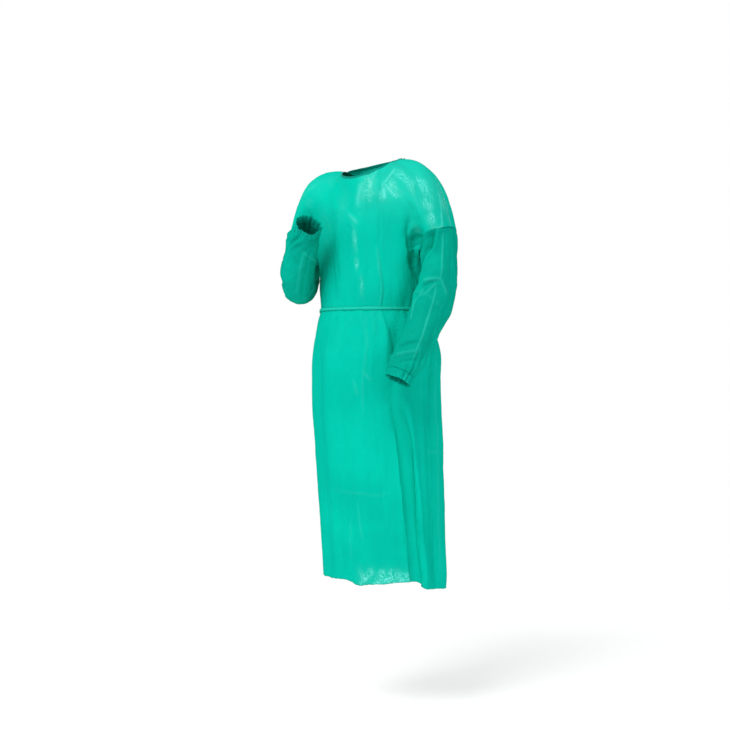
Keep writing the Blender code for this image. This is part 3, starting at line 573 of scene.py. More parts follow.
# eases the bend where the yoke begins, then the line under the end of the neck seam, with
# the edges and the armpits held
def smoothed(points, shares, steps):
    facts = smoothForm
    points = points.copy()
    rows = np.concatenate(steps[:2])[1:-1, None]
    top = len(skirtRows()) - 1
    out = np.abs(shares[1:-1])
    bend = np.clip(1 - np.abs(rows - top) / facts["bendRows"], 0, 1)
    bend = bend * (1 - ease(*facts["bendEnds"], out))
    under = np.exp(-(((out - bodyForm["neckShare"]) / facts["underWidth"]) ** 2))
    under = under * ease(*facts["underBottom"], rows - top)
    under = under * (1 - ease(*facts["underTop"], rows - rows[-1]))
    for weight, rounds in ((bend, facts["bendRounds"]), (under, facts["underRounds"])):
        weight = weight[..., None] / 2
        for _ in range(rounds):
            inner = points[1:-1, 1:-1]
            beside = points[1:-1, :-2] + points[1:-1, 2:]
            inner += weight * ((points[:-2, 1:-1] + points[2:, 1:-1] + beside) / 4 - inner)
    return points


# the front, and the two backs, one lying over the other behind
def bodySheets():
    steps = fineSteps()
    shares = steps[2]
    right, left = halfPanel("right", True, steps), halfPanel("left", True, steps)
    middle = (right[:, :1] + left[:, :1]) / 2
    front = np.concatenate([right[:, :0:-1], middle, left[:, 1:]], axis=1)
    both = np.concatenate([-shares[:0:-1], shares])
    sheets = {"front_panel": smoothed(front, both, steps)}
    rows = np.concatenate(steps[:2])
    for side, shift in (("left", bodyForm["layerShift"]), ("right", -bodyForm["layerShift"])):
        points = smoothed(halfPanel(side, False, steps), shares, steps)
        behind = unit((points - [0, bodyForm["layerAxisY"], 0]) * [1, 1, 0])
        top = (1 - ease(-bodyForm["layerFadeRows"], 0, rows - rows[-1]))[:, None]
        fade = np.sqrt(1 - shares) * top
        sheets[f"back_{side}_panel"] = points + behind * (shift * fade)[..., None]
    sheets["back_left_panel"] = sheets["back_left_panel"][:, ::-1]
    return sheets


# the sleeves: middle lines and sections, from the armhole to the cuff, as in the solids

sleeveForm = {
    "left": table(
        "x y z width depth",
        [
            (0.197, -0.008, -0.215, 0.052, 0.074), (0.206, -0.018, -0.29, 0.051, 0.074),
            (0.213, -0.04, -0.365, 0.053, 0.066), (0.205, -0.082, -0.44, 0.05, 0.056),
            (0.189, -0.119, -0.512, 0.045, 0.047), (0.175, -0.144, -0.563, 0.042, 0.042),
            (0.17, -0.152, -0.581, 0.034, 0.035),
        ],
    ),
    "right": table(
        "x y z width depth",
        [
            (-0.207, -0.014, -0.205, 0.046, 0.07), (-0.218, -0.03, -0.278, 0.046, 0.06),
            (-0.202, -0.072, -0.339, 0.047, 0.05), (-0.172, -0.13, -0.318, 0.045, 0.046),
            (-0.144, -0.165, -0.268, 0.046, 0.046), (-0.112, -0.192, -0.213, 0.042, 0.042),
            (-0.097, -0.204, -0.195, 0.036, 0.036),
        ],
    ),
}

# soft folds: where along the sleeve (0 armhole, 1 cuff), round it (0 outside, 90 front,
# 180 inside), their lean in thousandths for each 60 degrees, their widths and their height
sleeveFolds = {
    "left": table(
        "along round lean alongWidth roundWidth height",
        [
            (0.3, 150, 60, 0.05, 60, -0.006), (0.4, 120, 80, 0.04, 55, 0.005),
            (0.48, 100, 60, 0.04, 60, -0.007), (0.56, 80, -50, 0.04, 60, 0.005),
            (0.66, 110, 60, 0.05, 60, -0.0045), (0.86, 90, 50, 0.03, 70, -0.004),
            (0.92, 100, 50, 0.02, 80, 0.0035), (0.2, 250, 0, 0.06, 70, -0.006),
            (0.5, 260, 0, 0.06, 60, 0.005),
        ],
    ),
    "right": table(
        "along round lean alongWidth roundWidth height",
        [
            (0.22, 60, 40, 0.05, 60, -0.005), (0.34, 20, -60, 0.04, 60, -0.005),
            (0.44, 40, 40, 0.04, 60, 0.005), (0.56, 20, -40, 0.04, 60, -0.0045),
            (0.7, 40, 60, 0.04, 60, 0.004), (0.86, 60, 50, 0.03, 70, -0.004),
            (0.92, 40, 50, 0.02, 80, 0.0035), (0.25, 250, 0, 0.06, 70, 0.005),
        ],
    ),
}

# the hanging sleeve's front folds over below the seam
sleeveRecess = table(
    "along ridge depth",
    [
        (0, 42, 0), (0.03, 46, 0.015), (0.1, 56, 0.027), (0.17, 76, 0.029), (0.3, 110, 0.02),
        (0.42, 140, 0.007), (0.5, 160, 0), (1, 160, 0),
    ],
)

# the shape of that fold: degrees past its ridge, and shares of its depth
recessForm = {
    "fall": (3, 16),
    "inside": (190, 250),
    "easing": (36, 80),
    "eased": 0.55,
    "lip": 0.10,
    "lipPlace": 2,
    "lipWidth": 7,
}

# fine creases of the sleeves, as on the body: degrees round the sleeve and share along it
sleeveCreases = {
    "left": table(
        "startRound startAlong endRound endAlong width height pale",
        [
            (30, 0, 46, 0.33, 0.0022, 0.002, 0.65), (54, 0.4, 37, 0.91, 0.0022, 0.002, 0.6),
            (44, 0.335, 92, 0.36, 0.005, 0.003, 0.4), (46, 0.335, 20, 0.42, 0.004, 0.0024, 0.35),
            (48, 0.345, 96, 0.42, 0.005, -0.004, 0), (56, 0.38, 90, 0.5, 0.004, 0.0024, 0.35),
            (96, 0.44, 112, 0.66, 0.0026, 0.002, 0.6), (70, 0.66, 96, 0.6, 0.004, -0.002, 0),
            (8, 0.1, 12, 0.34, 0.003, -0.0012, 0), (350, 0.3, 20, 0.52, 0.0034, 0.0014, 0.2),
            (20, 0.56, 2, 0.86, 0.003, -0.0014, 0), (60, 0.72, 110, 0.8, 0.0034, -0.0022, 0),
            (30, 0.84, 100, 0.93, 0.005, 0.0034, 0.2), (50, 0.8, 116, 0.88, 0.005, -0.0036, 0),
            (20, 0.9, 84, 0.97, 0.0044, -0.0036, 0), (270, 0.1, 262, 0.5, 0.0028, 0.0012, 0.3),
            (262, 0.5, 284, 0.9, 0.0028, 0.0012, 0.3), (230, 0.34, 300, 0.42, 0.0044, -0.0022, 0),
        ],
    ),
    "right": table(
        "startRound startAlong endRound endAlong width height pale",
        [
            (40, 0.1, 36, 0.52, 0.0024, 0.0014, 0.4), (36, 0.52, 300, 0.9, 0.0024, 0.0014, 0.3),
            (330, 0.3, 350, 0.52, 0.0034, 0.0014, 0.24), (10, 0.4, 60, 0.5, 0.0044, -0.0026, 0),
            (356, 0.44, 20, 0.62, 0.0034, 0.0014, 0.24), (70, 0.6, 110, 0.8, 0.004, -0.002, 0),
            (276, 0.5, 262, 0.86, 0.004, -0.003, 0), (290, 0.56, 282, 0.88, 0.003, 0.0014, 0.24),
            (250, 0.2, 300, 0.34, 0.0044, -0.0022, 0), (200, 0.44, 250, 0.56, 0.004, 0.0016, 0.1),
        ],
    ),
}

sleeveGrid = {
    "columns": 132, "rows": 132, "axisPoints": 120,
    "bendRoom": 1.8, "bendReach": 0.75, "bendPower": 4,
    "armholeReach": (0.19, 0.11),  # how far down the armhole's own shape is felt, and its swing
}


# directions across a line: outwards and forwards, turned as little as possible
def framesAlong(line):
    tangents = unit(np.gradient(line, axis=0))
    outs = [np.array([math.copysign(1.0, line[0, 0]), 0, 0])]
    for tangent in tangents:
        out = outs[-1] - tangent * (outs[-1] @ tangent)
        outs.append(out / np.linalg.norm(out))
    outs = np.array(outs[1:])
    return tangents, outs, unit(np.cross(tangents, outs)) * math.copysign(1.0, line[0, 0])


# points down the middle of a sleeve, evenly spaced, with the section at each
def sleeveAxis(side):
    facts = sleeveForm[side]
    rows = np.stack([facts[name] for name in ("x", "y", "z", "width", "depth")], axis=-1)
    knots = lengthsAlong(rows[:, :3])
    return alongCurve(np.linspace(0, knots[-1], sleeveGrid["axisPoints"]), knots, rows)


# the sharpest bend near each point of a line, weaker with the distance to it
def nearestBend(tangents, lengths):
    bends = np.gradient(tangents, lengths[1], axis=0)
    sharp = np.linalg.norm(bends, axis=1)
    apart = np.abs(lengths[:, None] - lengths[None, :])
    strength = sharp / (1 + sleeveGrid["bendReach"] * apart * sharp)
    best = strength.argmax(axis=1)
    return unit(bends[best]) * strength.max(axis=1)[:, None]


# how far the sleeve's soft folds move its cloth outwards
def sleeveFoldHeight(side, s, angle):
    height = np.zeros(np.broadcast(s, angle).shape)
    for along, around, lean, wide, spread, rise in zip(*sleeveFolds[side].values()):
        offRound = turnBetween(angle, around)
        middle = along + lean / 1000 * offRound / 60
        height = height + rise * np.exp(-(((s - middle) / wide) ** 2) - (offRound / spread) ** 2)
    if side == "left":
        facts = recessForm
        ridge = np.interp(s, sleeveRecess["along"], sleeveRecess["ridge"])
        depth = np.interp(s, sleeveRecess["along"], sleeveRecess["depth"])
        past = angle - ridge
        hollow = ease(*facts["fall"], past) * (1 - ease(*facts["inside"], angle))
        height = height - depth * hollow * (1 - facts["eased"] * ease(*facts["easing"], past))
        offLip = (past - facts["lipPlace"]) / facts["lipWidth"]
        height = height + facts["lip"] * depth * np.exp(-(offLip**2))
    return height


# points of the tube round the sleeve's middle line, at lengths and angles
def onTube(at, angle, side, s, line):
    axis, lengths, tangents, outs, fronts = line
    inside = np.clip(at, 0, lengths[-1])
    spare = (at - inside)[..., None]

    def take(values):
        return np.stack([np.interp(inside, lengths, column) for column in values.T], axis=-1)

    centre, across, forward = take(axis[:, :3]), unit(take(outs)), unit(take(fronts))
    section = take(axis[:, 3:])
    bend = take(nearestBend(tangents, lengths))
    turn = np.radians(angle)[None, :]
    lift = sleeveFoldHeight(side, s, np.broadcast_to(angle[None, :], at.shape))
    width, depth = section[..., 0] + lift, section[..., 1] + lift
    spoke = across * (width * np.cos(turn))[..., None] + forward * (depth * np.sin(turn))[..., None]
    crowding = np.maximum((spoke * bend).sum(-1), 0) * sleeveGrid["bendRoom"]
    power = sleeveGrid["bendPower"]
    spoke = spoke / ((1 + crowding**power) ** (1 / power))[..., None]
    return centre + take(tangents) * spare + spoke


# the sleeve's cloth from the armhole to the cuff seam, and where along its middle line it lies
def sleeveSheet(side):
    axis = sleeveAxis(side)
    lengths = lengthsAlong(axis[:, :3])
    line = (axis, lengths, *framesAlong(axis[:, :3]))
    tangents = line[2]
    angle = np.linspace(0, 360, sleeveGrid["columns"] + 1)[:-1]
    hole = armholePoint(side, angle)
    first = (hole - axis[0, :3]) @ tangents[0]
    s = np.linspace(0, 1, sleeveGrid["rows"] + 1)[:, None]
    at = first[None, :] + (lengths[-1] - first[None, :]) * s
    surface = onTube(at, angle, side, s, line)
    start = onTube(first[None, :], angle, side, 0 * s[:1], line)
    reach, swing = sleeveGrid["armholeReach"]
    fade = 1 - ease(0, reach + swing * np.cos(np.radians(angle)), s)
    return surface + (hole[None] - start) * fade[..., None], at / lengths[-1], angle, lengths[-1]


# outward normals of a grid of points
def gridNormals(points, wraps):
    if wraps:
        around = np.concatenate([points[:, -1:], points, points[:, :1]], axis=1)
        across = (around[:, 2:] - around[:, :-2]) / 2
    else:
        across = np.gradient(points, axis=1)
    normals = unit(np.cross(across, np.gradient(points, axis=0)))
    middle = points.mean(axis=1, keepdims=True) if wraps else points.mean(axis=(0, 1)) * [1, 0, 1]
    return normals * math.copysign(1, (normals * (points - middle)).sum())


# the body's fine relief: what bends its drawn creases, soft crumple, long soft bands that lean,
# the painted highlight on the chest's lit part, and the drop at the neck's corners
reliefForm = {
    "wanderRound": ((1.2, 9, 0.05, 21), (0.5, 3, 0.017, 22)),
    "wanderUp": ((0.004, 8, 0.06, 23),),
    "crumple": ((0.0010, 9, 0.085, 31), (0.0006, 4.2, 0.034, 32), (0.00032, 1.9, 0.016, 33)),
    "bands": ((0.0016, 7.5, 0.55, 36), (0.0008, 3.4, 0.3, 37)),
    "bandLean": 9,
    "bandChest": 0.55,
    "bandWaist": (-0.50, -0.44),
    "pale": 0.06,
    "paleZ": (-0.20, -0.08),
    "paleRound": ((4, 14), (84, 98)),
    "cornerDrop": 0.0045,
    "cornerReach": 0.012,
}


def bodyRelief(points, normals):
    facts = reliefForm
    around, metres = placeRound(points)
    z = points[..., 2]
    wandered = around + layeredNoise(around, z, facts["wanderRound"])
    level = z + layeredNoise(around, z, facts["wanderUp"])
    height, pale = drawnLines(wandered, level, metres, 1.0, bodyCreases)
    skirt = 1 - ease(*facts["bandWaist"], z)
    bands = layeredNoise(around + facts["bandLean"] * z, z, facts["bands"])
    bands = bands * (facts["bandChest"] + (1 - facts["bandChest"]) * skirt)
    crumple = layeredNoise(around, z, facts["crumple"])
    height = height + bands + crumple + skirtHollow(around, z)
    # painted highlight: the chest's upper front, where the light falls, is painted paler
    left, right = facts["paleRound"]
    light = ease(*facts["paleZ"], z) * ease(*left, around) * (1 - ease(*right, around))
    pale = np.maximum(pale, facts["pale"] * light)
    points = points + normals * height[..., None]
    for side in sideForm.values():
        away = np.linalg.norm(points - neckPoint(90.0 * side["sign"]), axis=-1)
        near = np.exp(-((away / facts["cornerReach"]) ** 2))
        points[..., 2] -= facts["cornerDrop"] * near
    return points, pale


# where the film shines: degrees round the body, height, their reach, how strongly
# the strong patches are also painted highlight: they paint pale flecks into the colour
glossPatches = table(
    "around z roundReach zReach strength",
    [
        (71, -0.08, 8, 0.045, 1), (62, -0.06, 7, 0.03, 0.85), (68, -0.125, 6, 0.032, 1),
        (69, -0.165, 5, 0.028, 1), (84, -0.115, 5, 0.045, 0.75), (72, -0.19, 7, 0.013, 0.75),
        (58, -0.035, 9, 0.03, 0.9), (47, -0.07, 8, 0.04, 0.7), (36, -0.095, 5, 0.04, 0.75),
        (20, -0.075, 8, 0.05, 0.75), (7, -0.21, 4, 0.045, 0.75), (9, -0.285, 3, 0.022, 0.8),
        (14, -0.345, 3, 0.035, 0.7), (-10, -0.11, 9, 0.04, 0.3), (-60, -0.06, 16, 0.05, 0.45),
        (130, -0.09, 18, 0.06, 0.7), (-130, -0.09, 18, 0.06, 0.7), (160, -0.3, 8, 0.08, 0.4),
        (-155, -0.3, 8, 0.08, 0.4),
    ],
)


# the gloss outside the patches, what breaks them up, and a painted sheen patch at the front hem
glossForm = {
    "least": 0.02,
    "chest": 0.06,
    "chestZ": (-0.60, -0.15),
    "chestRound": (40, 60),
    "steady": 0.75,
    "broken": ((0.25, 3, 0.03, 35),),
    "wornRound": ((-4, 6), (50, 60)),
    "wornZ": (-1.135, -1.092),
    "worn": 0.62,
    "wornBroken": ((0.30, 5, 0.02, 39),),
}


def bodyGloss(points):
    facts = glossForm
    around, _ = placeRound(points)
    z = points[..., 2]
    front = 1 - ease(*facts["chestRound"], np.abs(around))
    gloss = facts["least"] + facts["chest"] * ease(*facts["chestZ"], z) * front
    for at, height, reachRound, reachZ, strength in zip(*glossPatches.values()):
        away = (turnBetween(around, at) / reachRound) ** 2 + ((z - height) / reachZ) ** 2
        gloss = np.maximum(gloss, strength * np.exp(-away))
    gloss = gloss * (facts["steady"] + layeredNoise(around, z, facts["broken"]))
    # painted sheen: a speckled pale glare at the front hem, carried as gloss into the coat and the
    # colour
    left, right = facts["wornRound"]
    place = ease(*left, around) * (1 - ease(*right, around)) * (1 - ease(*facts["wornZ"], z))
    worn = place * (facts["worn"] + layeredNoise(around, z, facts["wornBroken"]))
    return np.clip(np.maximum(gloss, worn), 0, 1)


# the sleeve's fine relief: gathers that run into the cuff, crumple, and a seam set in; each
# noise's cells are in degrees and in shares of the length
sleeveTexture = {
    "wander": ((2.6, 30, 1 / 9, 41),),
    "gathers": 13,
    "gatherHeight": 0.0042,
    "gatherReach": 0.26,
    "gatherLean": 40,
    "gatherWander": ((2.4, 36, 1 / 7, 51),),
    "gatherUneven": ((0.5, 24, 1 / 12, 52),),
    "gatherMean": 0.5,
    "crumple": ((0.0022, 45, 1 / 8, 61), (0.0013, 18, 1 / 19, 62), (0.0006, 8, 1 / 36, 63)),
    "seamReach": 0.05,
    "seamInset": 0.0012,
    "seamWidth": 0.03,
}


def sleeveRelief(points, normals, side, along, angle, length):
    facts, shift = sleeveTexture, len(side)
    turn = np.broadcast_to(angle[None, :], along.shape)
    radius = np.linalg.norm(points - points.mean(axis=1, keepdims=True), axis=-1)
    wandered = turn + layeredNoise(turn, along, facts["wander"], shift)
    height, pale = np.zeros(along.shape), np.zeros(along.shape)
    for start in (-360, 0, 360):
        lines, bleach = drawnLines(
            wandered + start, along, np.radians(radius), length, sleeveCreases[side]
        )
        height, pale = height + lines, np.maximum(pale, bleach)
    phase = np.radians(turn) * facts["gathers"] + facts["gatherLean"] * (along - 1)
    phase = phase + layeredNoise(turn, along, facts["gatherWander"], shift)
    uneven = facts["gatherMean"] + layeredNoise(turn, along, facts["gatherUneven"], shift)
    near = ease(1 - facts["gatherReach"], 1, along)
    height = height + facts["gatherHeight"] * near * np.cos(phase) * uneven
    height = height + layeredNoise(turn, along, facts["crumple"], shift)
    seam = along - along[:1]
    inset = facts["seamInset"] * (1 - ease(0, facts["seamWidth"], seam))
    height = height * ease(0, facts["seamReach"], seam) - inset
    return points + normals * height[..., None], pale


# meshes from grids of points

clothThickness = 0.0006


# the quads of a grid, which may close on itself in rows and in columns
def gridFaces(points, closedRows, closedColumns):
    rows, columns = points.shape[:2]
    row, column = (
        grid.ravel()
        for grid in np.mgrid[0 : rows - (not closedRows), 0 : columns - (not closedColumns)]
    )
    above, after = (row + 1) % rows, (column + 1) % columns
    corners = [(row, column), (row, after), (above, after), (above, column)]
    faces = np.stack([i * columns + j for i, j in corners], axis=-1)
    spots = points.reshape(-1, 3)[faces]
    normals = np.cross(spots[:, 2] - spots[:, 0], spots[:, 3] - spots[:, 1])
    away = spots.mean(axis=1) - points.mean(axis=1)[row]
    if not closedColumns:
        away = (spots.mean(axis=1) - [points[..., 0].mean(), 0, 0]) * [1, 1, 0]
    flip = (normals * away).sum() < 0
    return (faces[:, ::-1] if flip else faces), row, column


# a piece on a grid of points, with its cut laid out flat in metres as its UVs
def gridPiece(node, points, closed, finish, pale=0.0, gloss=0.2, thickness=0.0):
    closedRows, closedColumns = closed
    rows, columns = points.shape[:2]
    faces, faceRow, faceColumn = gridFaces(points, closedRows, closedColumns)
    polygons = faces.tolist()
    if closedColumns and not closedRows and not thickness:
        ends = [list(range(columns))[::-1], list(range((rows - 1) * columns, rows * columns))]
        polygons += ends
    mesh = bpy.data.meshes.new(node + "_cloth")
    mesh.from_pydata(points.reshape(-1, 3).tolist(), [], polygons)
    wide = np.concatenate([points, points[:, :1]], axis=1)
    tall = np.concatenate([points, points[:1]], axis=0)
    u = np.linalg.norm(np.diff(wide, axis=1, prepend=wide[:, :1]), axis=-1).cumsum(axis=1)
    v = np.linalg.norm(np.diff(tall, axis=0, prepend=tall[:1]), axis=-1).cumsum(axis=0)
    loops = np.empty(len(mesh.loops), int)
    mesh.loops.foreach_get("vertex_index", loops)
    row, column = loops // columns, loops % columns
    spare = np.zeros(len(loops) - 4 * len(faces), bool)
    lastColumn = np.append(np.repeat(faceColumn == columns - 1, 4), spare)
    lastRow = np.append(np.repeat(faceRow == rows - 1, 4), spare)
    uvColumn = np.where(lastColumn & (column == 0), columns, column)
    uvRow = np.where(lastRow & (row == 0), rows, row)
    cut = np.stack([u[row, uvColumn], v[uvRow, column]], axis=-1)
    mesh.uv_layers.new(name="cut").data.foreach_set("uv", cut.astype(np.float32).ravel())
    for label, values in (("pale", pale), ("gloss", gloss)):
        layer = mesh.attributes.new(label, "FLOAT", "POINT")
        spread = np.broadcast_to(values, (rows, columns)).astype(np.float32)
        layer.data.foreach_set("value", spread.ravel())
    mesh.shade_smooth()
    mesh.materials.append(finishes[finish])
    piece = bpy.data.objects.new(mesh.name, mesh)
    bpy.context.scene.collection.objects.link(piece)
    if thickness:
        wall = piece.modifiers.new("cloth", "SOLIDIFY")
        wall.thickness = thickness
        wall.offset = -1
    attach(piece, "root")
    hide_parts(node)
    return piece


# a closed profile carried along a line: where it goes, the way across it and the way out
def swept(line, across, outward, profile, turns=0.0):
    turns = np.radians(np.broadcast_to(turns, len(line)))[:, None]
    wide = across * np.cos(turns) + outward * np.sin(turns)
    deep = outward * np.cos(turns) - across * np.sin(turns)
    return (
        line[:, None]
        + wide[:, None] * profile[None, :, :1]
        + deep[:, None] * profile[None, :, 1:]
    )


# the outline of a flat folded strip: how far across and how far out each point is
def stripProfile(width, thickness, count=16, roundness=0.55):
    angle = np.radians(np.linspace(0, 360, count + 1)[:-1])
    across, out = np.cos(angle), np.sin(angle)
    return np.stack(
        [
            width / 2 * np.sign(across) * np.abs(across) ** roundness,
            thickness / 2 * np.sign(out) * np.abs(out) ** roundness,
        ],
        axis=-1,
    )


# evenly spaced points on a line, which may close on itself
def respaced(line, count, closed):
    if closed:
        line = np.vstack([line, line[:1]])
    lengths = lengthsAlong(line)
    at = np.linspace(0, lengths[-1], count + closed)[:count]
    return np.stack([np.interp(at, lengths, column) for column in line.T], axis=-1)


# finishes

finishFacts = {
    # colours are linear; pale is both the whitened creases' colour and the painted highlight's;
    # coat is the clear film's share where the cloth shines most
    "film": {
        "slot": "coated_cloth",
        "base": (0.0008, 0.500, 0.365), "deep": (0.0007, 0.440, 0.322),
        "pale": (0.160, 0.800, 0.720), "roughness": 0.50, "specular": 0.0,
        "coat": 0.75, "coatRoughness": 0.24, "bump": 0.70, "bond": 0.16,
    },
    "nonwoven": {
        "slot": "sleeve_cloth",
        "base": (0.0010, 0.400, 0.285), "deep": (0.0008, 0.320, 0.228),
        "pale": (0.035, 0.600, 0.480), "roughness": 0.68, "specular": 0.0,
        "coat": 0.06, "coatRoughness": 0.42, "bump": 0.60, "bond": 0.30,
    },
    "cuffs": {
        "slot": "cuff_cloth",
        "base": (0.0010, 0.420, 0.305), "deep": (0.0008, 0.310, 0.225),
        "pale": (0.040, 0.620, 0.500), "roughness": 0.70, "specular": 0.0,
        "coat": 0.04, "coatRoughness": 0.45, "bump": 0.60, "bond": 0.25,
    },
    "trim": {
        "slot": "trim_cloth",
        "base": (0.0012, 0.270, 0.205), "deep": (0.0010, 0.215, 0.165),
        "pale": (0.020, 0.420, 0.340), "roughness": 0.60, "specular": 0.05,
        "coat": 0.08, "coatRoughness": 0.40, "bump": 0.40, "bond": 0.20,
    },
}


# the cloth's fine texture, sizes in metres; an edge is where a noise begins and ends to count
textureFacts = {
    "bondPitch": 0.0016, "bondTurn": 45, "bondJitter": 0.12, "bondEdge": (0.16, 0.40),
    "fuzzScale": 2.7, "fuzz": 0.5, "bondDepth": 0.0002,
    "crumpleSize": 0.02, "crumpleStretch": (1.0, 0.34, 1.0), "crumpleDistortion": 0.6,
    "crumpleLayers": ((1.0, 1.0), (2.9, 0.42), (7.5, 0.16)),  # the scale and share of each
    "crumpleDepth": 0.0016, "streakEdge": (0.40, 0.66),
    "streakCoat": 0.55,  # the share of the coat that comes and goes with the streaks
    "streakRough": -0.08,
    "mottleScale": 5.0, "mottleEdge": (0.36, 0.66),
    # noise that breaks up the pale creases and the painted chest highlights
    "paleBreakScale": 420, "paleBreakEdge": (0.30, 0.62), "paleBreakLeast": 0.35,
    # painted highlight: where and how finely the shine is painted as pale flecks
    "shineEdge": (0.25, 0.95), "glintNoiseScale": 120, "glintNoiseDistortion": 1.2,
    "fleckEdge": (0.40, 0.64), "fleckMost": 0.95,
}


# a node group with its sockets: the kind and the value of each input, the kind of each output
def newGroup(name, inputs, outputs):
    group = bpy.data.node_groups.new(name, "ShaderNodeTree")
    for label, (kind, value) in inputs.items():
        socket = group.interface.new_socket(
            label, in_out="INPUT", socket_type="NodeSocket" + kind
        )
        if value is not None:
            socket.default_value = value
    for label, kind in outputs.items():
        group.interface.new_socket(label, in_out="OUTPUT", socket_type="NodeSocket" + kind)
    inside = group.nodes.new("NodeGroupInput")
    outside = group.nodes.new("NodeGroupOutput")
    inside.location, outside.location = (-900, 0), (900, 0)
    return group, inside.outputs, outside.inputs


# a shader node with its settings; an input is a value, or a socket to link from
def addNode(tree, kind, place, inputs=(), **settings):
    node = tree.nodes.new("ShaderNode" + kind)
    node.location = place
    for label, value in settings.items():
        setattr(node, label, value)
    for label, value in dict(inputs).items():
        if isinstance(value, bpy.types.NodeSocket):
            tree.links.new(value, node.inputs[label])
        else:
            node.inputs[label].default_value = value
    return node


def mathNode(tree, operation, place, *values):
    return addNode(tree, "Math", place, enumerate(values), operation=operation).outputs[0]


def noiseNode(tree, place, spot, scale, detail, distortion=0.0):
    inputs = {"Vector": spot, "Scale": scale, "Detail": detail, "Distortion": distortion}
    return addNode(tree, "TexNoise", place, inputs, noise_dimensions="2D").outputs["Fac"]


# 0 to 1 between the edge's two values, or between the two other ends given
def spreadNode(tree, place, value, edge, ends=(0.0, 1.0), kind="SMOOTHSTEP"):
    labels = ("Value", "From Min", "From Max", "To Min", "To Max")
    inputs = zip(labels, (value, *edge, *ends))
    return addNode(tree, "MapRange", place, inputs, interpolation_type=kind).outputs["Result"]


def mixNode(tree, place, factor, first, second):
    inputs = {"Factor": factor, 6: first, 7: second}
    return addNode(tree, "Mix", place, inputs, data_type="RGBA").outputs[2]


def bumpNode(tree, place, height, strength, distance, **under):
    inputs = {"Height": height, "Strength": strength, "Distance": distance, **under}
    return addNode(tree, "Bump", place, inputs).outputs["Normal"]


# the dimples where a nonwoven's fibres are bonded, in staggered rows at their real pitch
def makeBondPoints():
    facts = textureFacts
    group, inside, outside = newGroup(
        "bondPoints",
        {"Spot": ("Vector", None), "Pitch": ("Float", facts["bondPitch"])},
        {"Height": "Float"},
    )
    scale = mathNode(group, "DIVIDE", (-700, -120), 1.0, inside["Pitch"])
    angle = math.radians(facts["bondTurn"])
    turned = addNode(
        group, "VectorRotate", (-700, 60), {"Vector": inside["Spot"], "Angle": angle},
        rotation_type="Z_AXIS",
    ).outputs["Vector"]
    dots = addNode(
        group, "TexVoronoi", (-500, 0),
        {"Vector": turned, "Scale": scale, "Randomness": facts["bondJitter"]},
        voronoi_dimensions="2D",
    ).outputs["Distance"]
    fine = mathNode(group, "MULTIPLY", (-700, -300), scale, facts["fuzzScale"])
    fibres = noiseNode(group, (-500, -260), inside["Spot"], fine, 3)
    dimple = spreadNode(group, (-260, 0), dots, facts["bondEdge"])
    fuzz = mathNode(group, "MULTIPLY", (-60, -200), fibres, facts["fuzz"])
    group.links.new(mathNode(group, "ADD", (200, 0), dimple, fuzz), outside["Height"])
    return group


# small crumples of film: upright streaks, with finer ones across them
def makeCrumple():
    facts = textureFacts
    group, inside, outside = newGroup(
        "crumple",
        {"Spot": ("Vector", None), "Size": ("Float", facts["crumpleSize"])},
        {"Height": "Float", "Streak": "Float"},
    )
    scale = mathNode(group, "DIVIDE", (-700, -200), 1.0, inside["Size"])
    upright = addNode(
        group, "VectorMath", (-700, 60), {0: inside["Spot"], 1: facts["crumpleStretch"]},
        operation="MULTIPLY",
    ).outputs[0]
    spots = (upright, upright, inside["Spot"])
    layers = []
    for index, (factor, share) in enumerate(facts["crumpleLayers"]):
        level = 260 - 240 * index
        size = mathNode(group, "MULTIPLY", (-560, level - 60), scale, factor)
        noise = noiseNode(
            group, (-420, level), spots[index], size, 2, facts["crumpleDistortion"]
        )
        layers.append(mathNode(group, "MULTIPLY", (-160, level), noise, share))
    total = mathNode(group, "ADD", (60, 100), layers[0], layers[1])
    total = mathNode(group, "ADD", (240, 60), total, layers[2])
    group.links.new(total, outside["Height"])
    streak = spreadNode(group, (240, -160), layers[0], facts["streakEdge"])
    group.links.new(streak, outside["Streak"])
    return group


# the cloth's tone: slow mottling between two greens, paler where it is creased, and painted
# highlight, pale flecks, where it shines
def makeClothTone():
    facts = textureFacts
    colour = ("Color", None)
    group, inside, outside = newGroup(
        "clothTone",
        {
            "Spot": ("Vector", None), "Base": colour, "Deep": colour, "Pale": colour,
            "Crease": ("Float", 0.0), "Shine": ("Float", 0.0),
        },
        {"Color": "Color"},
    )
    spot = inside["Spot"]
    slow = noiseNode(group, (-600, 200), spot, facts["mottleScale"], 4)
    mottle = spreadNode(group, (-380, 200), slow, facts["mottleEdge"], kind="LINEAR")
    green = mixNode(group, (-120, 120), mottle, inside["Deep"], inside["Base"])
    # breaks up the pale creases, and the painted highlights of the chest that come in with them
    fine = noiseNode(group, (-600, -160), spot, facts["paleBreakScale"], 2)
    broken = spreadNode(
        group, (-380, -160), fine, facts["paleBreakEdge"], (facts["paleBreakLeast"], 1.0), "LINEAR"
    )
    worn = mathNode(group, "MULTIPLY", (-120, -160), inside["Crease"], broken)
    # painted highlight: where the gloss is high, pale flecks are mixed into the colour
    lit = spreadNode(group, (-380, -420), inside["Shine"], facts["shineEdge"])
    glintNoise = noiseNode(
        group, (-600, -640), spot, facts["glintNoiseScale"], 4, facts["glintNoiseDistortion"]
    )
    glintFlecks = spreadNode(group, (-380, -640), glintNoise, facts["fleckEdge"], (0.0, facts["fleckMost"]))
    shining = mathNode(group, "MULTIPLY", (-120, -420), lit, glintFlecks)
    lightened = mathNode(group, "MAXIMUM", (60, -240), worn, shining)
    mixed = mixNode(group, (240, 60), lightened, green, inside["Pale"])
    group.links.new(mixed, outside["Color"])
    return group


clothGroups = {
    "bond": makeBondPoints(), "crumple": makeCrumple(), "tone": makeClothTone(),
}


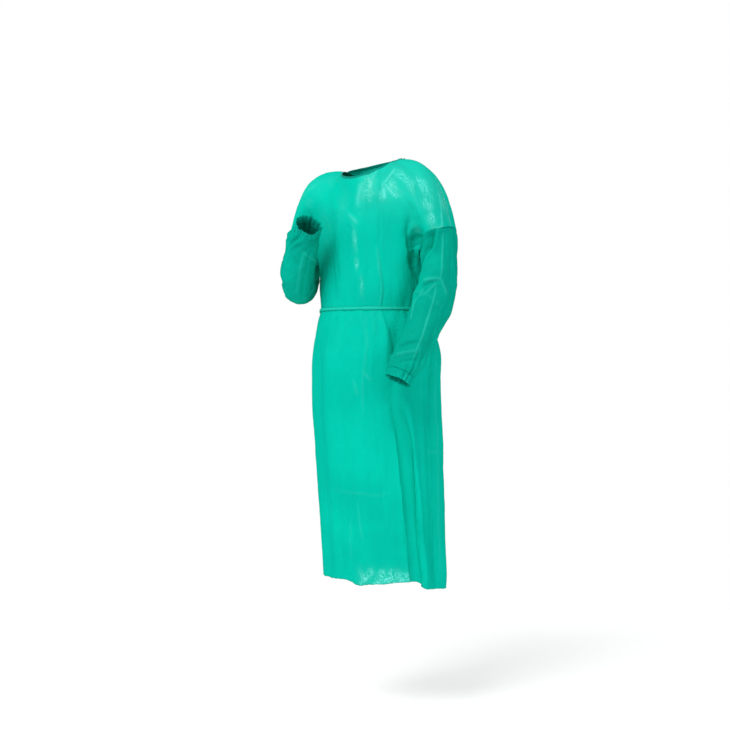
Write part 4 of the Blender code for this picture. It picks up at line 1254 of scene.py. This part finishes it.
def makeCloth(name, facts):
    made = bpy.data.materials.new(name)
    made.use_nodes = True
    tree = made.node_tree
    shader = tree.nodes["Principled BSDF"]
    shader.inputs["Specular IOR Level"].default_value = facts["specular"]
    shader.inputs["Coat Roughness"].default_value = facts["coatRoughness"]
    spot = addNode(tree, "UVMap", (-1300, 0), uv_map="cut").outputs["UV"]
    pale, gloss = (
        addNode(tree, "Attribute", (-1300, level), attribute_name=label).outputs["Fac"]
        for label, level in (("pale", -240), ("gloss", -440))
    )

    def useGroup(label, where, **inputs):
        inputs = {"Spot": spot, **inputs}
        return addNode(tree, "Group", where, inputs, node_tree=clothGroups[label]).outputs

    colours = {label: (*facts[label.lower()], 1) for label in ("Base", "Deep", "Pale")}
    # the tone paints highlight where the gloss is high; the pale brings whitened creases and
    # painted highlights
    tone = useGroup("tone", (-900, 260), Crease=pale, Shine=gloss, **colours)
    crumple = useGroup("crumple", (-900, -40))
    bond = useGroup("bond", (-900, -300))
    film = mathNode(tree, "MULTIPLY", (-560, -200), gloss, facts["coat"])
    changing = textureFacts["streakCoat"]
    streaked = mathNode(
        tree, "MULTIPLY_ADD", (-560, -60), crumple["Streak"], changing, 1 - changing
    )
    coat = mathNode(tree, "MULTIPLY", (-360, -120), film, streaked)
    rough = mathNode(
        tree, "MULTIPLY", (-560, 120), crumple["Streak"], textureFacts["streakRough"]
    )
    rough = mathNode(tree, "ADD", (-360, 120), rough, facts["roughness"])
    soft = bumpNode(
        tree, (-360, -320), crumple["Height"], facts["bump"], textureFacts["crumpleDepth"]
    )
    fine = bumpNode(
        tree, (-160, -360), bond["Height"], facts["bond"], textureFacts["bondDepth"], Normal=soft
    )
    sockets = ("Base Color", "Coat Weight", "Roughness", "Normal", "Coat Normal")
    for socket, value in zip(sockets, (tone["Color"], coat, rough, fine, fine)):
        tree.links.new(value, shader.inputs[socket])
    return made


finishes = {name: makeCloth(name, facts) for name, facts in finishFacts.items()}
print("finishes made:", ", ".join(finishes))


# camera, level, and 30 degrees round to the gown's left

cameraFacts = {
    "azimuth": 30, "distance": 4.6, "height": -0.56, "lens": 81, "sensor": 36, "aside": 0.0269,
}


def placeCamera():
    turn = math.radians(cameraFacts["azimuth"])
    toward = np.array([math.sin(turn), -math.cos(turn), 0])
    right = np.array([math.cos(turn), math.sin(turn), 0])
    data = bpy.data.cameras.new("camera")
    data.lens, data.sensor_width = cameraFacts["lens"], cameraFacts["sensor"]
    camera = bpy.data.objects.new("camera", data)
    place = toward * cameraFacts["distance"] - right * cameraFacts["aside"]
    camera.location = (place[0], place[1], cameraFacts["height"])
    camera.rotation_euler = (math.radians(90), 0, turn)
    bpy.context.scene.collection.objects.link(camera)
    bpy.context.scene.camera = camera


placeCamera()


# the pieces


def layBody():
    laid = {}
    for node, points in bodySheets().items():
        points, pale = bodyRelief(points, gridNormals(points, False))
        laid[node] = points
        piece = gridPiece(
            node, points, (False, False), "film", pale, bodyGloss(points), clothThickness
        )
        print(node, "laid")
    return laid


def laySleeves():
    for side in sideForm:
        node, cuff = "sleeve_" + side, "cuff_" + side
        points, along, angle, length = sleeveSheet(side)
        normals = gridNormals(points, True)
        points, pale = sleeveRelief(points, normals, side, along, angle, length)
        piece = gridPiece(node, points, (False, True), "nonwoven", pale, thickness=clothThickness)
        ring, pale = cuffSheet(side, points)
        piece = gridPiece(cuff, ring, (False, True), "cuffs", pale, thickness=clothThickness)
        print(node, "laid")


# the cuffs: the sleeve's own last ring carried on, drawn in by elastic and turned under

cuffForm = {
    "length": 0.023,
    "aimRows": 6,  # rows of the sleeve that the cuff is aimed along
    "gap": 0.0004,
    "shape": ((0.0, 1.0), (0.35, 0.965), (0.7, 0.97), (1.0, 1.03)),
    "gathers": 22,
    "gatherHeight": 0.0013,
    "gatherStart": 0.35,
    "gatherWander": ((3.2, 24, 1 / 2, 72),),
    "gatherUneven": ((0.4, 15, 1 / 3, 73),),
    "gatherMean": 0.6,
    "endUneven": ((0.0016, 30, 1, 71),),
    "noiseRow": 3.7,
    "turnedUnder": 0.30,  # how much of the cuff's length is turned under at its end
    "turnedShares": (0.1, 1, 7),
    "hemDepth": 0.0014,
    "columns": 264,
    "rows": 20,
    "pale": 0.35,
    "paleFolds": (0.4, 1.0),
}


def cuffSheet(side, sleeve):
    facts, shift = cuffForm, len(side)
    ring = sleeve[-1]
    centre = ring.mean(axis=0)
    ahead = unit(centre - sleeve[-1 - facts["aimRows"]].mean(axis=0))
    angle = np.linspace(0, 360, facts["columns"] + 1)[:-1]
    steps = np.linspace(0, 360, len(ring) + 1)
    closed = np.vstack([ring, ring[:1]]) - centre
    spokes = np.stack([np.interp(angle, steps, column) for column in closed.T], axis=-1)
    tilt = spokes @ ahead
    spokes = spokes - ahead * tilt[:, None]
    share = np.linspace(0, 1, facts["rows"])
    under = 1 - facts["turnedUnder"] * np.linspace(*facts["turnedShares"])
    share, depth = np.append(share, under), np.append(0 * share, 0 * under + facts["hemDepth"])
    size = alongCurve(share, *np.array(facts["shape"]).T)
    turn, part = angle[None, :], share[:, None]
    phase = np.radians(turn) * facts["gathers"] + layeredNoise(turn, part, facts["gatherWander"])
    strength = facts["gatherMean"] + layeredNoise(turn, part, facts["gatherUneven"], shift)
    folds = np.cos(phase) * strength * ease(0, facts["gatherStart"], part)
    uneven = layeredNoise(turn, facts["noiseRow"] + 0 * part, facts["endUneven"], shift)
    reach = facts["length"] * part + tilt[None, :] * (1 - part) + facts["gap"]
    reach = reach + uneven * part**2
    radius = np.linalg.norm(spokes, axis=1)[None, :] * size[:, None] - depth[:, None]
    radius = radius + facts["gatherHeight"] * folds
    points = centre + ahead * reach[..., None] + unit(spokes)[None] * radius[..., None]
    return points, facts["pale"] * ease(*facts["paleFolds"], folds)


# the neck's binding, folded over the raw edge and stitched

bindingForm = {
    "width": 0.0080, "thickness": 0.0026, "lift": 0.0016, "sink": 0.0002, "sections": 300,
    "rowsBelow": 3, "lineRounds": 8, "upwardRounds": 40,
    "stitchPitch": 0.0034, "stitchHeight": 0.00022, "stitchedLength": 0.55,
    "wrinkles": ((1, 1 / 40, 5, 81),), "wrinkleHeight": 1.6,  # in heights of a stitch
    "pale": 0.06, "paleWrinkles": (0.2, 1), "gloss": 0.1,
}


def neckEdge(laid):
    split = bodyForm["columnSplit"]
    neck = bodyForm["neckColumns"] * split
    middle = neck + bodyForm["shoulderColumns"] * split
    parts = [
        ("back_left_panel", slice(-1, -neck - 2, -1)),
        ("front_panel", slice(middle + neck - 1, middle - neck - 1, -1)),
        ("back_right_panel", slice(neck - 1, None, -1)),
    ]
    top, below = (
        np.concatenate([laid[node][row, columns] for node, columns in parts])
        for row in (-1, -1 - bindingForm["rowsBelow"])
    )
    return top, unit(top - below)


def bindNeck(laid):
    facts = bindingForm
    both = respaced(np.hstack(neckEdge(laid)), facts["sections"], False)
    rounds = [slice(0, 6)] * facts["lineRounds"] + [slice(3, 6)] * facts["upwardRounds"]
    for column in rounds:
        both[1:-1, column] = (both[:-2] + 2 * both[1:-1] + both[2:])[:, column] / 4
    line, upward = both[:, :3], unit(both[:, 3:])
    ahead = unit(np.gradient(line, axis=0))
    outward = unit(np.cross(upward, ahead))
    middle = line.mean(axis=0)
    outward = outward * np.sign(((line - middle) * outward).sum(-1, keepdims=True))
    profile = stripProfile(facts["width"], facts["thickness"])
    rings = swept(line + upward * facts["lift"] - outward * facts["sink"], upward, outward, profile)
    at = np.linspace(0, 1, len(line))[:, None]
    stitches = np.sin(at * 2 * np.pi * facts["stitchedLength"] / facts["stitchPitch"])
    wrinkle = layeredNoise(at, np.arange(len(profile))[None, :], facts["wrinkles"])
    lift = facts["stitchHeight"] * (stitches + facts["wrinkleHeight"] * wrinkle)
    rings = rings + outward[:, None] * lift[..., None] * np.sign(profile[None, :, 1:])
    pale = facts["pale"] * ease(*facts["paleWrinkles"], wrinkle)
    piece = gridPiece("neck_binding", rings, (False, True), "trim", pale, facts["gloss"])


# the waist tie round the gown, taut over the folds

beltForm = {
    "width": 0.0078, "thickness": 0.0030, "sections": 460, "lift": 0.0012, "tighten": 30,
    "cells": (16, 32, 64), "noiseRow": 0.4, "seed": 90,
    "twist": 14, "wave": 0.0009, "pinch": 0.16,
    "dip": 0.006, "dipRound": ((-140, -100), (-80, -40)), "pale": 0.07, "gloss": 0.15,
}


def beltLine(laid):
    steps = fineSteps()
    heights = np.interp(steps[0], np.arange(len(skirtRows())), skirtRows())
    row = int(np.abs(heights - bodyForm["beltZ"]).argmin())
    over = bodyForm["backOverlapWaist"]
    clear = int(np.argmax(steps[2] > 2 * over / (90 + over)))
    parts = [
        laid["front_panel"][row, :-1], laid["back_left_panel"][row],
        laid["back_right_panel"][row, clear + 1 : -1],
    ]
    line = respaced(np.concatenate(parts), beltForm["sections"], True)
    middle = line.mean(axis=0)
    flat = (line - middle) * [1, 1, 0]
    reach = np.linalg.norm(flat, axis=1)
    for _ in range(beltForm["tighten"]):
        reach = np.maximum(reach, (np.roll(reach, 1) + reach + np.roll(reach, -1)) / 3)
    spokes = unit(flat)
    return middle + spokes * (reach + beltForm["lift"])[:, None], spokes


def layBelt(laid):
    facts = beltForm
    line, outward = beltLine(laid)
    count = len(line)
    turn = np.arange(count)
    row = facts["noiseRow"] + 0 * turn
    wave, twist, pinch = (
        softNoise(turn * cells / count, row, facts["seed"] + cells) for cells in facts["cells"]
    )
    around, _ = placeRound(line)
    back, front = facts["dipRound"]
    dip = facts["dip"] * (1 - ease(*front, around)) * ease(*back, around)
    up = np.broadcast_to([0.0, 0.0, 1.0], line.shape)
    line = line + up * (facts["wave"] * wave - dip)[:, None]
    rings = swept(
        line + outward * facts["thickness"] / 2, up, outward,
        stripProfile(facts["width"], facts["thickness"]), facts["twist"] * twist,
    )
    scale = (1 + facts["pinch"] * pinch)[:, None, None]
    rings = line[:, None] + (rings - line[:, None]) * scale
    piece = gridPiece("waist_belt", rings, (True, True), "film", facts["pale"], facts["gloss"])


# knots and hanging tie ends behind the neck and the waist

tieForm = {
    "width": 0.016, "thickness": 0.0009, "lift": 0.0012, "rows": 70, "columns": 9,
    "lean": {"left": 0.030, "right": -0.022}, "leanPower": 1.4,
    "length": {"waist": 0.27, "neck": 0.15},
    "apart": 0.62,  # in widths
    "narrow": 0.4, "narrowEnd": 0.12,  # its share of the width where it leaves the knot
    "tuck": 0.0008, "reachRounds": 24, "behind": 0.25, "curl": 0.0016,
    "wave": 0.0022, "waves": 7, "waveStart": 0.3, "waveRow": 0.5,
    "tilt": 0.35, "tilts": 4, "tiltRow": 0.2, "tiltSeed": 7,
    "pale": 0.15, "gloss": 0.4, "seed": 101,
}

knotForm = {
    "strip": {"waist": (0.0092, 0.0050), "neck": (0.0072, 0.0042)},
    "sections": 120, "twist": 12, "pale": 0.1, "tieTop": 0.96,
}


# an overhand knot: a strip that crosses itself three times, squeezed into the solid's box
def tieKnot(where, finish):
    low, high = (np.array(corner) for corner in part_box(where + "_knot"))
    width, thickness = knotForm["strip"][where]
    turn = np.linspace(0, 2 * np.pi, knotForm["sections"] + 1)[:-1]
    path = np.stack(
        [
            (np.sin(turn) + 2 * np.sin(2 * turn)) / 3,
            -np.sin(3 * turn),
            (np.cos(turn) - 2 * np.cos(2 * turn)) / 3,
        ],
        axis=-1,
    )
    room = (high - low) / 2 - [width / 2, thickness / 2, width / 2]
    line = (low + high) / 2 + path * room
    ahead = unit(np.roll(line, -1, axis=0) - np.roll(line, 1, axis=0))
    across = unit(np.cross(ahead, [0, 1, 0]))
    outward = unit(np.cross(across, ahead))
    twist = knotForm["twist"] * np.sin(2 * turn)
    rings = swept(line, across, outward, stripProfile(width, thickness), twist)
    gridPiece(where + "_knot", rings, (True, True), finish, knotForm["pale"])
    return (low + high) / 2, (high - low) / 2


# how far back the cloth reaches at a place
def backReach(trees, x, z):
    start = (x, tieForm["behind"], z)
    hits = [tree.ray_cast(start, (0, -1, 0))[0] for tree in trees]
    return max((hit.y for hit in hits if hit), default=-1.0)


def hangTie(where, side, trees, top, finish):
    facts = tieForm
    length, lean, power = facts["length"][where], facts["lean"][side], facts["leanPower"]
    drop = np.linspace(0, 1, facts["rows"])
    level = 0 * drop
    grow = facts["narrow"] + (1 - facts["narrow"]) * ease(0, facts["narrowEnd"], drop)
    x = math.copysign(facts["width"] * facts["apart"], lean) * grow + lean * drop**power
    z = top[2] - length * drop
    slope = lean / length * power * drop ** (power - 1)
    across = unit(np.stack([1 + level, level, slope], axis=-1))
    places = np.linspace(-0.5, 0.5, facts["columns"]) * facts["width"]
    reach = [
        max(backReach(trees, x[i] + place * grow[i], z[i]) for place in places[::4])
        for i in range(len(drop))
    ]
    reach = np.array(reach) + facts["lift"]
    reach[0] = max(reach[0], top[1] - facts["tuck"])
    for _ in range(facts["reachRounds"]):
        eased = np.convolve(np.pad(reach, 1, mode="edge"), [0.25, 0.5, 0.25], mode="valid")
        reach = np.maximum(reach, eased)
    seed = facts["seed"] + len(where) + len(side)
    wave = (1 + softNoise(drop * facts["waves"], facts["waveRow"] + level, seed)) / 2
    wave = facts["wave"] * wave * ease(0, facts["waveStart"], drop)
    middle = np.stack([x, reach + wave, z], axis=-1)
    sheet = middle[:, None] + across[:, None] * (places[None, :] * grow[:, None])[..., None]
    curl = facts["curl"] * (places / facts["width"] * 2) ** 2
    turn = softNoise(drop * facts["tilts"], facts["tiltRow"] + level, seed + facts["tiltSeed"])
    tilt = (facts["tilt"] * turn)[:, None] * places[None, :]
    sheet[..., 1] += curl[None, :] + np.abs(tilt) + tilt
    piece = gridPiece(
        f"{where}_tie_{side}", sheet, (False, False), finish, facts["pale"], facts["gloss"],
        facts["thickness"],
    )


def layTies(laid):
    trees = []
    for node in ("back_left_panel", "back_right_panel"):
        faces = gridFaces(laid[node], False, False)[0]
        trees.append(BVHTree.FromPolygons(laid[node].reshape(-1, 3).tolist(), faces.tolist()))
    for where, finish in (("waist", "film"), ("neck", "trim")):
        middle, half = tieKnot(where, finish)
        top = (0, middle[1], middle[2] - knotForm["tieTop"] * half[2])
        for side in sideForm:
            hangTie(where, side, trees, top, finish)


laid = layBody()
laySleeves()
bindNeck(laid)
layBelt(laid)
layTies(laid)
print("binding, waist tie and knots laid")


# lights, floor and background

lightFacts = {
    # place, target height, size, watts
    "key": ((0.1, -3.7, 2.7), -0.40, 2.4, 150),
    "side": ((3.4, -0.8, 0.2), -0.70, 2.0, 20),
    "fill": ((-3.2, -2.2, 0.6), -0.50, 1.8, 22),
    "back": ((-0.6, 3.4, 1.6), -0.50, 2.4, 50),
}

worldFacts = {"seen": 1.0, "light": 0.66}
# the floor fades from solid at one distance from its middle to gone at another
floorFacts = {
    "z": -1.526, "radius": 3.2, "segments": 96, "solid": 0.9, "gone": 3.04,
    "colour": 0.93, "roughness": 0.9, "specular": 0.1,
}


def addLights():
    for name, (place, height, size, watts) in lightFacts.items():
        data = bpy.data.lights.new(name, "AREA")
        data.shape, data.size, data.energy = "DISK", size, watts
        lamp = bpy.data.objects.new(name, data)
        lamp.location = place
        aim = np.array([0, 0, height]) - np.array(place)
        lamp.rotation_euler = (
            math.atan2(math.hypot(aim[0], aim[1]), -aim[2]), 0, math.atan2(-aim[0], aim[1])
        )
        bpy.context.scene.collection.objects.link(lamp)


def addWorld():
    world = bpy.data.worlds.new("studio")
    bpy.context.scene.world = world
    world.use_nodes = True
    tree = world.node_tree
    backdrop = tree.nodes["Background"]
    backdrop.inputs["Strength"].default_value = worldFacts["light"]
    backdrop.inputs["Color"].default_value = (1, 1, 1, 1)
    white = {"Color": (1, 1, 1, 1), "Strength": worldFacts["seen"]}
    seen = addNode(tree, "Background", (0, -160), white).outputs[0]
    ray = addNode(tree, "LightPath", (0, 260)).outputs["Is Camera Ray"]
    mix = addNode(tree, "MixShader", (260, 0), {0: ray, 1: backdrop.outputs[0], 2: seen})
    tree.links.new(mix.outputs[0], tree.nodes["World Output"].inputs[0])


# a pale floor that fades into the background all round
def addFloor():
    shape = bmesh.new()
    bmesh.ops.create_circle(
        shape, cap_ends=True, segments=floorFacts["segments"], radius=floorFacts["radius"]
    )
    mesh = bpy.data.meshes.new("floor")
    shape.to_mesh(mesh)
    shape.free()
    floor = bpy.data.objects.new("floor", mesh)
    floor.location = (0, 0, floorFacts["z"])
    bpy.context.scene.collection.objects.link(floor)
    made = bpy.data.materials.new("pale floor")
    made.use_nodes = True
    tree = made.node_tree
    shader = tree.nodes["Principled BSDF"]
    shader.inputs["Base Color"].default_value = (*[floorFacts["colour"]] * 3, 1)
    shader.inputs["Roughness"].default_value = floorFacts["roughness"]
    shader.inputs["Specular IOR Level"].default_value = floorFacts["specular"]
    spot = addNode(tree, "TexCoord", (-900, -200)).outputs["Object"]
    far = addNode(tree, "VectorMath", (-700, -200), {0: spot}, operation="LENGTH")
    edge = (floorFacts["solid"], floorFacts["gone"])
    fade = spreadNode(tree, (-500, -200), far.outputs["Value"], edge, (1.0, 0.0))
    tree.links.new(fade, shader.inputs["Alpha"])
    mesh.materials.append(made)


addLights()
addWorld()
addFloor()
bpy.context.scene.view_settings.view_transform = "Standard"
print("studio set")
